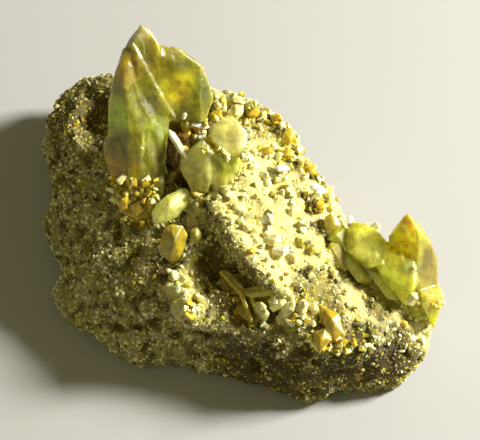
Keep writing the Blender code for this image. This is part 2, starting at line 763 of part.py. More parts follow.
def add_floor_cutter():
    width, depth = FLOOR_BLOCK
    bm = bmesh.new()
    bmesh.ops.create_cube(bm, size=MM)
    bmesh.ops.scale(bm, vec=(width, width, depth), verts=bm.verts)
    bmesh.ops.translate(bm, vec=(0.0, 0.0, -depth * MM / 2), verts=bm.verts)
    mesh = bpy.data.meshes.new("floor")
    bm.to_mesh(mesh)
    bm.free()
    return add_helper("floor_cutter", mesh)


def rough_rock():
    """The rock with its hollows, lumps and knobs and its flat face, still without sockets."""
    obj = add_object("matrix", rock_cage())
    helpers = [hollow_cutter(number + 1, row) for number, row in enumerate(HOLLOWS)]
    for helper in helpers:
        cut = obj.modifiers.new(helper.name, "BOOLEAN")
        cut.operation = "DIFFERENCE"
        cut.object = helper
    remesh = obj.modifiers.new("even surface", "REMESH")
    remesh.mode = "VOXEL"
    remesh.voxel_size = VOXEL * MM
    smooth = obj.modifiers.new("worn", "SMOOTH")
    smooth.factor = 0.5
    smooth.iterations = WORN_ROUNDS
    add_relief(obj, "lumps", *COARSE_RELIEF)
    add_relief(obj, "knobs", *FINE_RELIEF)
    bpy.context.view_layer.update()
    triangles = 2 * len(finished_mesh(obj).polygons)
    thin = obj.modifiers.new("facets", "DECIMATE")
    thin.ratio = ROCK_TRIANGLES / triangles
    thin.use_collapse_triangulate = True
    floor = add_floor_cutter()
    flat = obj.modifiers.new("flat face", "BOOLEAN")
    flat.operation = "DIFFERENCE"
    flat.object = floor
    mesh = finished_mesh(obj)
    clean_mesh(mesh)
    obj.modifiers.clear()
    obj.data = mesh
    for helper in helpers + [floor]:
        bpy.data.objects.remove(helper, do_unlink=True)
    return obj


def surface_of(obj):
    bm = bmesh.new()
    bm.from_mesh(obj.data)
    tree = BVHTree.FromBMesh(bm)
    bm.free()
    return tree


def point_on(tree, x, y):
    """The point of the rock's top at this place, in metres."""
    above = Vector((x, y, HIGH_ABOVE)) * MM
    return tree.ray_cast(above, Vector((0.0, 0.0, -1.0)))[0]


def fuse_small_crystals(rock, tree):
    """Small crystals along the crest and the ridge, in one solid with the rock."""
    chance = random.Random(7)
    helpers = []
    for number in range(FUSED_CRYSTALS):
        start, end = FUSED_LINES[number % len(FUSED_LINES)]
        share = chance.random()
        x = start[0] + (end[0] - start[0]) * share + chance.uniform(-1, 1) * FUSED_SPREAD
        y = start[1] + (end[1] - start[1]) * share + chance.uniform(-1, 1) * FUSED_SPREAD
        size = chance.uniform(*FUSED_SIZE)
        leans = [chance.uniform(-FUSED_LEAN, FUSED_LEAN) for _ in range(2)]
        turn = Euler((*leans, chance.uniform(0.0, math.tau)))
        root = point_on(tree, x, y)
        if root is None:  # the place is past the edge of the rock
            continue
        corners = wedge_corners(root, turn, size * FUSED_LENGTH, size)
        helpers.append(add_helper("fused", hull_mesh("fused", corners)))
    for helper in helpers:
        join = rock.modifiers.new("fused crystal", "BOOLEAN")
        join.operation = "UNION"
        join.object = helper
    mesh = finished_mesh(rock)
    clean_mesh(mesh)
    rock.modifiers.clear()
    rock.data = mesh
    for helper in helpers:
        bpy.data.objects.remove(helper, do_unlink=True)


def add_group(solids, name, group, material):
    solids.add_crystal(name, placed_pieces(group, 0.0), placed_pieces(group, GAP), material)


def add_ridge_crystals(solids, tree, materials):
    for number, (x, y, length, width, turn, lean, colour) in enumerate(RIDGE_CRYSTALS):
        root = point_on(tree, x, y) + Vector((0.0, 0.0, RIDGE_LIFT * length * MM))
        pose = Euler((math.radians(lean), 0.0, math.radians(turn)))
        corners = wedge_corners(root, pose, length, width)
        sockets = [grown(corners, GAP * MM)]
        solids.add_crystal(f"ridge_crystal_{number + 1}", [corners], sockets, materials[colour])


def centre_on_floor(parent):
    """Moves everything so that the middle of its footprint box is the origin."""
    bpy.context.view_layer.update()
    corners = [
        obj.matrix_world @ vert.co
        for obj in parent.children
        if not obj.hide_render
        for vert in obj.data.vertices
    ]
    low = [min(corner[axis] for corner in corners) for axis in range(3)]
    high = [max(corner[axis] for corner in corners) for axis in range(3)]
    parent.location = (-(low[0] + high[0]) / 2, -(low[1] + high[1]) / 2, -low[2])


def build_specimen():
    clear_scene()
    materials = make_materials()
    specimen = add_object("specimen", None)
    solids = Solids(specimen)
    rock = rough_rock()
    tree = surface_of(rock)
    fuse_small_crystals(rock, tree)

    named = [
        ("tall_twin", TALL_TWIN, "green"),
        ("middle_crystals", MIDDLE_CRYSTALS, "olive"),
        ("small_blade", SMALL_BLADE, "green"),
        ("lower_crystal", LOWER_CRYSTAL, "olive"),
        ("round_crystal", ROUND_CRYSTAL, "olive"),
        ("right_crystals", RIGHT_CRYSTALS, "green"),
        ("saddle_crystal", SADDLE_CRYSTAL, "olive"),
        ("ledge_crystals", LEDGE_CRYSTALS, "amber"),
    ]
    for name, group, colour in named:
        add_group(solids, name, group, materials[colour])
    add_ridge_crystals(solids, tree, materials)
    crusts = [
        ("cavity_crust", CAVITY_CRUST, "brown"),
        ("hollow_crust", HOLLOW_CRUST, "amber"),
        ("foot_crust", FOOT_CRUST, "amber"),
    ]
    for name, group, colour in crusts:
        add_group(solids, name, group, materials[colour])

    solids.cut_clear(rock)
    mesh = finished_mesh(rock)
    clean_mesh(mesh)
    rock.modifiers.clear()
    rock.data = mesh
    finish_object(rock, materials["rock"], specimen)
    centre_on_floor(specimen)


build_specimen()
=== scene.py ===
"""The looks of a titanite specimen: sugary rock, crystals grown on it, light and camera.

Places are in millimetres from the middle of the base, X to the right, Y to the back and
Z up, and turn into metres where a mesh or a shader needs them.
"""

import json
import math
import random

import bmesh
import bpy
import numpy as np
from mathutils import Matrix, Vector, noise
from mathutils.bvhtree import BVHTree


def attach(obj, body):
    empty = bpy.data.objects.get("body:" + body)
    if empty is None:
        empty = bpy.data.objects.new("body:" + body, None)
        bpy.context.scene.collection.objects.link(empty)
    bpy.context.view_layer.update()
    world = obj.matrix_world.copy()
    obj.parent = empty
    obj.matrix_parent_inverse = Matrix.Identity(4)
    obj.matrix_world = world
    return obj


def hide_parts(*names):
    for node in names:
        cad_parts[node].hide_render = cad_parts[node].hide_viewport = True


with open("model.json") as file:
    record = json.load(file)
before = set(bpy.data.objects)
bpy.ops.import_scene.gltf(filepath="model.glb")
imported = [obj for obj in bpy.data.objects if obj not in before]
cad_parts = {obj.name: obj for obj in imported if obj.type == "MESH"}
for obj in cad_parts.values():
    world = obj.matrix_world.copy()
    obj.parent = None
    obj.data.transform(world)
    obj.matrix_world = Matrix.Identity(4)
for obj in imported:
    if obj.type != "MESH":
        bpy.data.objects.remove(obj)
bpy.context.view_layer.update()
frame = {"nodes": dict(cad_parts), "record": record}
MM = 0.001

# The photograph's view: what its middle looks at, its height above the horizon in degrees,
# the distance, and the width that its 480 pixels show.
LOOK_AT = (-0.23, -1.05, 10.0)
VIEW_HEIGHT = 60.0
VIEW_DISTANCE = 1200.0
VIEW_WIDTH = 57.6
SENSOR = 36.0

# Lights: direction they come from, distance, side, power in watts, colour.
LIGHTS = {
    "key": ((0.83, 0.20, 0.52), 420.0, 90.0, 5.8, (1.0, 0.97, 0.86)),
    "fill": ((-0.45, -0.60, 0.65), 500.0, 420.0, 0.34, (1.0, 0.95, 0.56)),
}
SKY = (0.178, 0.163, 0.066)
FLOOR_SIDE = 900.0
FLOOR_COLOUR = (0.36, 0.362, 0.378)

# The rock's surface under its grains.
ROCK_VOXEL = 0.30
ROCK_SMOOTHING = 6  # rounds of it, and the share of the way that each one moves a point
SMOOTHING_SHARE = 0.5
ROCK_RELIEF = [(3.2, 0.48), (1.2, 0.24)]  # size and height of its lumps
LOW_ZONE = 0.6  # all relief fades out this near the flat base
PITS = (1.5, 0.22, 0.4, 1.7)  # size, rareness, where they stop getting deeper, and steepness
PALE_SMOOTHER = 0.4  # how much lower the lumps are where all grains are pale
PALE_UNPITTED = 0.85  # how much shallower the pits are
PALE_UNBLOTCHED = 0.85  # and how much lighter the dark blotches are
# Places where the rock stands higher than its solid, or lower: start, end, radius, height.
MOUNDS = [
    ((1.2, -8.6, 12.8), (3.4, -11.6, 11.6), 2.7, 1.50),
    ((-2.8, -2.8, 14.6), (-0.4, -6.8, 13.6), 2.3, 1.00),
    ((-4.8, 0.2, 12.8), (-2.8, -1.2, 14.2), 2.6, 1.30),
    ((7.3, 0.5, 13.2), (9.4, -3.4, 12.8), 1.0, -0.90),
    ((-8.5, -8.2, 11.0), (-6.0, -14.4, 10.0), 2.8, 1.45),
]
SOCKET_ZONE = (0.5, 1.6)  # all this fades out between these distances from a crystal

# Shifts that keep noises of the same kind apart.
PIT_SHIFT = 20.0
CHIP_SHIFT = 40.0
ROUGH_SHIFT = 50.0
MOSS_SHIFT = 90.0

# Grains: forms made once, then set all over the rock.
GRAIN_FORMS = 60
GRAIN_CORNERS = 10
GRAIN_STRETCH = (0.75, 1.2)
GRAIN_UNEVENNESS = (0.85, 1.1)  # distances of its corners from its middle
GRAIN_GAP = 0.42  # least distance between neighbours
GRAIN_TRIES = 130000
GRAIN_RADIUS = (0.26, 0.46)
CRUMB_GAP = 0.25
CRUMB_TRIES = 160000
CRUMB_RADIUS = (0.14, 0.24)
CRUMB_CORNERS = 7
GRAIN_SINK = 0.46  # share of its radius that a grain's middle lies under the surface
PALE_DEEPER = 0.10  # how much more it is where all are pale
GRAIN_FLOOR = 0.35  # no grain is set lower
GRAIN_LIFT = 1.2  # and its middle is at least this share of its radius up
CRYSTAL_CLEAR = 0.42  # no grain's middle is nearer to a crystal
SEAM = (0.34, 0.66)  # a crystal's surface this far from the rock is where it comes out
SEAM_GAP = 0.42
SEAM_RADIUS = (0.28, 0.48)
SEAM_FLOOR = 1.0

PALE_RANGE = (0.66, 0.25)  # from this share of pale grains to this much more of them
TINY = 1e-9  # keeps a division from dividing by nothing
# Starts of the rows of random numbers.
SEEDS = {"places": 11, "grains": 12, "blocks": 21, "seams": 31, "seam_order": 32, "facets": 41}

# Which minerals the grains are of: shares of pale, olive, amber, rusty and dark ones.
# The zones also paint light and shade on the grains: nearly all pale grains on the lit slope are
# painted light, and more dark ones on the shady side and the front strip are partly painted shade.
MINERALS = ("pale", "olive", "amber", "rusty", "dark")
# partly painted shade: more dark grains on the side turned from the key light
SHADY_SIDE = (0.58, 0.15, 0.02, 0.00, 0.25)
# painted shade: mostly dark grains on the front face, which lies in shade
FRONT_STRIP_SHADE = (0.06, 0.27, 0.02, 0.07, 0.58)
# painted light: nearly all pale grains on the slope that the key light falls on
BRIGHT_SLOPE = (0.92, 0.05, 0.03, 0.00, 0.00)
FAR_SIDE = (0.22, 0.46, 0.10, 0.06, 0.16)
# painted shade: darker grains and ground in the pits, where shade falls, with a little rust
PIT_SHADE = (0.10, 0.36, 0.06, 0.10, 0.38)
MOSS = (0.00, 0.38, 0.04, 0.00, 0.17)  # added to the shares in mossy blotches
MOSS_KEEPS = (0.30, 1.0, 1.0, 1.0, 1.0)  # what those keep of each mineral
MOSS_SIZE = 1.6
MOSS_SPREAD = (2.4, 0.3)  # how sharp the blotches are, and how rare
MOSS_MOST = 0.9
MOSS_FADE = 0.86  # how much less there is on the bright slope
WOBBLE = (2.2, 2.0)  # size and height of the waves in the borders between zones
ROUGH_SIZE = 1.1  # size of the finer waves
# The slope lies to the right of this line, and behind the foot line. The line follows the edge of
# the light, so the slope's pale grains are partly painted light.
RIDGE = (
    (7.0, -14.3), (3.2, -12.1), (1.3, -10.0), (-0.5, -7.6), (-1.7, -5.4), (-2.8, -3.2), (-3.8, 1.7),
)
RIDGE_BLUR = 1.0
RIDGE_WOBBLE = 0.5  # share of the waves that it has
SLOPE_FOOT = ((0.0, -15.4), (24.5, -13.4))
FOOT_BLUR = 1.2
STRIP_TOP = 9.4
STRIP_BLUR = 2.0
STRIP_START = -6.0  # the strip starts here, and is whole this much further right
STRIP_FADE = 6.0
CREST = ((11.6, 0.6), (-4.0, 17.0))  # the far side, hidden in the photo, lies to the right
CREST_GAP = 0.6  # this far behind the crest
CREST_BLUR = 2.0
LOW_RIGHT = (5.5, 3.0)  # the low ground right of the ridge is like the far side: top and blur
PATCH_RAGGEDNESS = 0.8
PATCH_SHARPNESS = 2.0
# the pits' darker minerals, painted shade, grow with their depth
PIT_SHADE_SHARE = 2.0  # how fast the share of the pits' minerals grows with their depth
PATCHES = [
    # middle, radius, shares
    ((-12.2, -1.2, 12.6), 3.2, (0.14, 0.16, 0.54, 0.12, 0.04)),
    ((-7.8, -9.8, 11.8), 3.6, (0.88, 0.08, 0.04, 0.00, 0.00)),
    ((-6.2, -13.4, 11.0), 3.4, (0.84, 0.12, 0.04, 0.00, 0.00)),
    ((-2.2, -9.8, 10.8), 3.6, (0.03, 0.08, 0.14, 0.45, 0.30)),
    ((0.4, -12.6, 10.2), 3.6, (0.04, 0.10, 0.16, 0.48, 0.22)),
    ((-8.0, 7.0, 12.6), 3.6, (0.10, 0.12, 0.30, 0.28, 0.20)),
    ((-17.5, 14.5, 8.6), 4.4, (0.06, 0.26, 0.05, 0.20, 0.43)),
    ((-20.6, 14.5, 7.0), 3.8, (0.12, 0.46, 0.02, 0.06, 0.34)),
    ((-9.4, -8.6, 10.8), 1.8, (0.08, 0.18, 0.06, 0.26, 0.42)),
    ((16.0, -12.4, 8.6), 2.0, (0.28, 0.34, 0.10, 0.16, 0.12)),
    ((11.5, -4.5, 12.0), 2.6, (0.30, 0.52, 0.16, 0.00, 0.02)),
    ((6.0, -14.2, 10.4), 1.8, (0.80, 0.10, 0.10, 0.00, 0.00)),
    ((10.6, -16.6, 9.6), 2.8, (0.34, 0.12, 0.42, 0.12, 0.00)),
    ((9.4, -13.4, 10.6), 3.8, (0.26, 0.36, 0.26, 0.10, 0.02)),
    # painted light: pale patches below the middle crystals, in their shadow and on a face turned from
    # the light
    ((-3.8, 0.6, 13.2), 3.2, (0.84, 0.12, 0.04, 0.00, 0.00)),
    ((-2.0, -1.6, 15.2), 2.8, (0.98, 0.02, 0.00, 0.00, 0.00)),
    ((14.2, -8.4, 10.4), 2.6, (0.44, 0.26, 0.30, 0.00, 0.00)),
    # painted light: a pale patch in the shade under the right crystals
    ((17.6, -11.4, 9.6), 2.4, (0.70, 0.20, 0.10, 0.00, 0.00)),
    ((8.8, -11.4, 11.4), 3.8, (0.40, 0.42, 0.16, 0.02, 0.00)),
    ((7.3, 0.5, 13.2), 1.2, (0.04, 0.16, 0.12, 0.36, 0.32)),
    ((8.3, -1.3, 12.8), 1.3, (0.02, 0.10, 0.10, 0.40, 0.38)),
    ((9.3, -3.2, 12.6), 1.3, (0.02, 0.16, 0.12, 0.38, 0.32)),
    ((12.6, -6.8, 11.2), 3.0, (0.42, 0.30, 0.28, 0.00, 0.00)),
    ((-3.4, -7.8, 11.6), 2.6, (0.02, 0.06, 0.18, 0.54, 0.20)),
    ((-0.6, -10.6, 11.4), 2.4, (0.02, 0.06, 0.22, 0.52, 0.18)),
    # painted light: a pale patch in the shadow of the middle crystals
    ((-5.0, -1.0, 13.4), 3.0, (0.86, 0.14, 0.00, 0.00, 0.00)),
    ((-16.2, 3.0, 13.4), 2.6, (0.14, 0.26, 0.52, 0.08, 0.00)),
    ((22.4, -13.6, 5.6), 3.4, (0.88, 0.10, 0.02, 0.00, 0.00)),
    ((2.0, 9.6, 14.6), 3.4, (0.38, 0.24, 0.30, 0.06, 0.02)),
    ((6.8, 4.8, 13.6), 3.2, (0.48, 0.20, 0.26, 0.05, 0.01)),
]
# The ground colour under each mineral, and how dark it is where no light mineral prevails.
GROUND_COLOURS = (
    (0.80, 0.72, 0.28),
    (0.15, 0.13, 0.015),
    (0.52, 0.30, 0.015),
    (0.20, 0.08, 0.004),
    (0.04, 0.026, 0.004),
)
GROUND_SHADE = 0.45

# Lines along which small blocky crystals stand: ends, number, how far they stray, their
# radii, what they stand on (rock, all, or one another), and the shares of cream, amber and
# olive ones.
BLOCK_LINES = [
    (((-3.5, 13.5, 15.0), (6.0, 9.0, 14.0)), 34, 1.6, (0.40, 0.72), "rock", (0.52, 0.22, 0.26)),
    (((6.0, 8.0, 14.0), (11.0, -0.5, 12.0)), 26, 1.5, (0.40, 0.72), "rock", (0.50, 0.22, 0.28)),
    (((0.5, 8.0, 15.5), (6.5, -2.0, 14.0)), 22, 2.4, (0.40, 0.74), "rock", (0.66, 0.12, 0.22)),
    (((-2.6, -1.6, 15.6), (5.0, -11.5, 12.6)), 20, 1.0, (0.40, 0.66), "rock", (0.74, 0.10, 0.16)),
    (((3.0, 3.0, 15.8), (9.0, -6.0, 13.0)), 16, 1.8, (0.40, 0.70), "rock", (0.84, 0.06, 0.10)),
    (((0.2, 0.0, 15.8), (6.5, -9.5, 12.8)), 14, 1.5, (0.40, 0.70), "rock", (0.90, 0.02, 0.08)),
    (((7.0, -5.0, 13.4), (12.0, -12.0, 10.4)), 16, 1.6, (0.36, 0.66), "rock", (0.62, 0.12, 0.26)),
    (((2.4, -13.6, 10.8), (9.0, -15.7, 10.2)), 24, 0.7, (0.40, 0.85), "rock", (0.76, 0.20, 0.04)),
    (((7.6, -17.4, 9.5), (14.2, -18.0, 8.4)), 24, 0.7, (0.40, 0.75), "rock", (0.16, 0.72, 0.12)),
    (((14.2, -17.4, 8.2), (22.6, -13.1, 5.0)), 20, 1.0, (0.36, 0.66), "rock", (0.70, 0.20, 0.10)),
    (((-15.2, 1.0, 13.2), (-9.8, 0.7, 13.8)), 60, 0.5, (0.26, 0.72), "heap", (0.20, 0.58, 0.22)),
    (((-15.2, 0.2, 12.6), (-9.6, -0.2, 13.2)), 50, 0.5, (0.24, 0.64), "heap", (0.26, 0.56, 0.18)),
    (((-15.4, 2.4, 14.2), (-14.6, 1.2, 13.4)), 14, 0.4, (0.28, 0.50), "heap", (0.10, 0.66, 0.24)),
    (((-15.2, 1.8, 14.6), (-10.4, 1.6, 14.6)), 8, 0.4, (0.45, 0.85), "all", (0.16, 0.60, 0.24)),
    (((1.0, 6.4, 19.8), (1.4, 2.6, 17.4)), 18, 0.6, (0.30, 0.66), "all", (0.84, 0.04, 0.12)),
    (((0.4, 5.6, 16.4), (3.4, 0.6, 15.6)), 10, 1.0, (0.50, 0.90), "rock", (0.82, 0.04, 0.14)),
    (((-5.4, 3.6, 18.8), (-0.6, 2.8, 18.4)), 14, 0.4, (0.26, 0.60), "all", (0.80, 0.10, 0.10)),
    (((-14.6, -1.0, 11.6), (-9.5, -1.6, 12.4)), 26, 0.9, (0.28, 0.56), "rock", (0.24, 0.64, 0.12)),
    (((-7.4, 8.6, 17.4), (-3.4, 8.4, 16.4)), 22, 0.7, (0.28, 0.60), "all", (0.36, 0.54, 0.10)),
    (((-8.5, 9.0, 13.6), (-6.5, 4.5, 13.0)), 22, 1.3, (0.30, 0.60), "all", (0.40, 0.50, 0.10)),
    (((-5.6, 8.0, 14.6), (-2.6, 8.6, 15.4)), 18, 0.9, (0.34, 0.70), "rock", (0.56, 0.40, 0.04)),
    (((-5.4, -1.0, 14.2), (-1.0, -0.8, 15.6)), 26, 0.9, (0.34, 0.66), "all", (0.66, 0.08, 0.26)),
    (((-8.4, -8.4, 12.4), (-5.6, -14.2, 11.4)), 34, 1.3, (0.36, 0.70), "rock", (0.80, 0.10, 0.10)),
    (((13.5, -9.0, 10.4), (19.5, -13.2, 8.8)), 16, 0.9, (0.30, 0.56), "all", (0.56, 0.14, 0.30)),
    (((21.0, -12.6, 9.4), (23.6, -11.6, 9.0)), 10, 0.5, (0.30, 0.50), "all", (0.80, 0.14, 0.06)),
    (((11.4, -2.2, 13.0), (17.0, -2.6, 13.0)), 14, 0.6, (0.30, 0.54), "all", (0.74, 0.16, 0.10)),
]
# Single slender crystals: middle, direction, length, width and finish.
SHARDS = [
    # The white ones are near-white crystals set where facets glint: painted highlights.
    ((-5.0, 7.4, 17.2), (0.90, -0.10, -0.30), 2.2, 0.80, "white_glint"),
    ((-6.9, 7.9, 19.2), (0.30, 0.60, 0.60), 0.9, 0.55, "white_glint"),
    ((-5.4, 6.9, 15.6), (0.20, 0.60, 0.60), 1.0, 0.60, "white_glint"),
    ((-7.9, 3.4, 13.2), (0.50, 0.70, 0.50), 2.0, 0.90, "small_olive"),
    ((-7.6, 3.8, 13.8), (0.50, 0.70, 0.50), 0.8, 0.50, "white_glint"),
    ((-6.8, 8.2, 15.4), (-0.50, 0.40, 0.60), 2.0, 0.80, "amber"),
    ((-8.3, 5.6, 13.6), (0.10, 0.80, 0.50), 1.8, 0.70, "brown"),
    ((2.2, -14.1, 11.4), (0.10, 0.10, 0.95), 2.6, 1.50, "cream"),
    ((3.9, -14.4, 11.2), (0.70, 0.10, 0.50), 2.4, 1.60, "cream"),
    ((-0.6, -10.1, 11.8), (0.62, -0.70, -0.10), 3.6, 0.75, "small_olive"),
    ((1.3, -13.2, 11.0), (0.40, -0.86, -0.30), 3.6, 0.70, "small_olive"),
    ((2.6, -11.9, 12.0), (0.97, 0.10, 0.12), 4.6, 1.70, "small_olive"),
    ((4.8, 2.8, 15.8), (0.90, 0.20, -0.20), 1.6, 0.90, "white_glint"),
    ((9.2, 1.3, 13.5), (0.80, -0.30, -0.30), 2.0, 1.00, "white_glint"),
    ((-2.0, -0.6, 16.2), (0.80, -0.30, 0.10), 1.4, 0.60, "white_glint"),
    ((12.8, -3.0, 13.6), (0.20, 0.80, 0.40), 1.1, 0.80, "white_glint"),
    ((16.2, -3.2, 13.4), (0.80, 0.30, 0.30), 1.4, 0.90, "cream"),
    ((2.9, -3.7, 14.8), (0.60, 0.20, 0.30), 2.0, 1.40, "white_glint"),
    ((3.6, -6.2, 14.3), (0.80, -0.40, 0.20), 2.4, 1.80, "cream"),
    ((4.6, -7.4, 13.8), (0.80, -0.30, 0.20), 2.2, 1.60, "white_glint"),
    ((17.4, -10.4, 10.6), (0.62, -0.62, -0.45), 4.4, 2.2, "lime"),
    ((15.4, -8.4, 11.2), (0.60, -0.60, -0.40), 3.6, 1.8, "lime"),
    ((12.4, -5.4, 11.8), (0.55, -0.65, -0.40), 4.6, 2.8, "lime"),
    ((14.0, -8.2, 11.0), (0.60, -0.62, -0.45), 4.6, 2.6, "lime"),
    ((11.6, -7.0, 11.6), (0.50, -0.75, -0.35), 3.8, 2.0, "small_olive"),
    ((3.0, -14.7, 11.2), (0.20, 0.20, 0.90), 1.8, 1.2, "cream"),
    ((5.4, -14.2, 11.2), (0.50, 0.20, 0.80), 3.0, 1.6, "cream"),
    ((7.0, -14.0, 11.3), (0.40, -0.10, 0.90), 3.2, 1.9, "cream"),
    ((8.4, -14.2, 11.0), (0.20, 0.30, 0.90), 2.6, 1.5, "cream"),
    ((20.4, -9.6, 13.0), (0.50, 0.50, 0.60), 1.2, 0.8, "cream"),
    ((20.6, -12.6, 10.8), (0.50, 0.50, 0.60), 1.8, 1.3, "cream"),
]
# A slender crystal that leans from one large crystal to another.
# It is near-white, a painted highlight.
LEANING = [((-7.7, 5.0, 17.8), (2.04, -3.50, -0.40), 4.2, 0.95, "white_glint")]
SHARD_SHAPE = [
    # share of the half length, of the half width and of the half thickness
    (-1.00, 0.20, 0.20), (-0.70, 0.90, 0.80), (0.55, 1.00, 1.00), (1.00, 0.25, 0.30),
]
SHARD_FLATNESS = 0.6
SHARD_REACH = 0.3  # share of its width that its middle may be away from what it stands on
HEAP_WAY = Vector((-0.2, -0.6, 0.8))  # the way out of crystals that stand on one another
SHARD_OUTLINE = ((-1.0, 0.0), (-0.4, 1.0), (0.6, 1.0), (1.0, 0.0), (0.4, -1.0), (-0.6, -1.0))
BLOCK_FORMS = 18
BLOCK_SIZE = 1.3
BLOCK_SLANT = 0.30
BLOCK_SHAPE = ((0.35, 0.80), (0.50, 0.95), (0.90, 1.50))  # narrowing upwards, flatness, tallness
BLOCK_BEVEL = 0.07
BLOCK_CLEAR = 0.25  # one that stands on the rock is at least this far from a large crystal
BLOCK_LEAN = 0.6
BLOCK_RISE = 0.2  # share of its radius that its middle lies over the surface

# Crystals: the fineness of the surface, the direction that they grew in, the width of the
# small facets on them, how deep the growth lines are, how much the small facets slope, how
# deep the edges are chipped, and the finish.
CRYSTAL_LOOKS = {
    "tall_twin": (0.14, (0.0, 0.643, 0.766), 2.2, 0.035, 0.09, 0.22, "green"),
    "middle_crystals": (0.12, (0.0, 0.707, 0.707), 1.7, 0.025, 0.17, 0.20, "olive"),
    "small_blade": (0.10, (0.62, 0.60, 0.50), 1.2, 0.020, 0.07, 0.10, "pale_blade"),
    "lower_crystal": (0.10, (0.0, 0.766, 0.643), 1.1, 0.020, 0.10, 0.12, "olive_brown"),
    "round_crystal": (0.08, (0.0, 0.766, 0.643), 0.8, 0.015, 0.08, 0.10, "small_olive"),
    "right_crystals": (0.12, (0.0, 0.643, 0.766), 1.8, 0.035, 0.09, 0.18, "lime"),
    "saddle_crystal": (0.09, (0.0, 0.707, 0.707), 1.0, 0.020, 0.08, 0.10, "olive"),
    "ledge_crystals": (0.10, (0.0, 0.940, 0.342), 1.0, 0.020, 0.09, 0.12, "honey"),
    "cavity_crust": (0.12, (0.0, 0.914, 0.407), 1.1, 0.020, 0.09, 0.12, "brown"),
    "hollow_crust": (0.12, (0.0, 0.978, 0.208), 1.1, 0.020, 0.09, 0.12, "olive_brown"),
    "foot_crust": (0.10, (0.0, 0.951, 0.309), 1.0, 0.020, 0.09, 0.12, "amber"),
}
# An edge that is rounded off: line, distance that it reaches, rounds of smoothing.
SOFT_EDGES = {"tall_twin": (((-8.9, 12.8, 24.7), (-8.7, 9.0, 20.2)), 1.7, 60)}
# Edges where one face lies lower than the next: start, end, the way across to the lower
# face, how much lower it is, and how far from the edge it is so.
STEP_WIDTH = 0.3
STEP_SHARPNESS = 2.0
STEPS = {
    "tall_twin": [
        ((-11.9, 12.3, 25.5), (-8.9, 9.1, 20.2), (0.87, 0.43, 0.24), 0.24, 3.0),
        ((-11.6, 5.0, 18.6), (-10.2, 2.6, 15.8), (0.87, 0.25, -0.43), 0.25, 1.8),
    ],
    "right_crystals": [
        ((16.6, -5.0, 14.6), (18.6, -7.6, 13.4), (0.70, 0.50, 0.50), 0.25, 2.0),
    ],
}
# The same for the crystals along the ridge, which are cream or amber.
RIDGE_LOOK = (0.09, (0.0, 0.0, 1.0), 0.9, 0.015, 0.08, 0.10)
CREAM_RIDGE_CRYSTALS = (2, 8, 10)
RIDGE_CRYSTALS = 11
GROWTH_LINES = (0.10, 0.45)  # share of their distances that is kept along them, and their size
FACET_STRETCH = 0.45
FACET_SHUFFLE = 7.3
CHIPS = (0.8, 0.25)  # size of the chips, and how common they are
EDGE_SHARPNESS = 5.0
EDGE_SPREAD = 2
SOFT_SHARPNESS = 1.5

FROST = (0.82, 0.79, 0.30)
GOLDEN_FROST = (0.86, 0.66, 0.10)

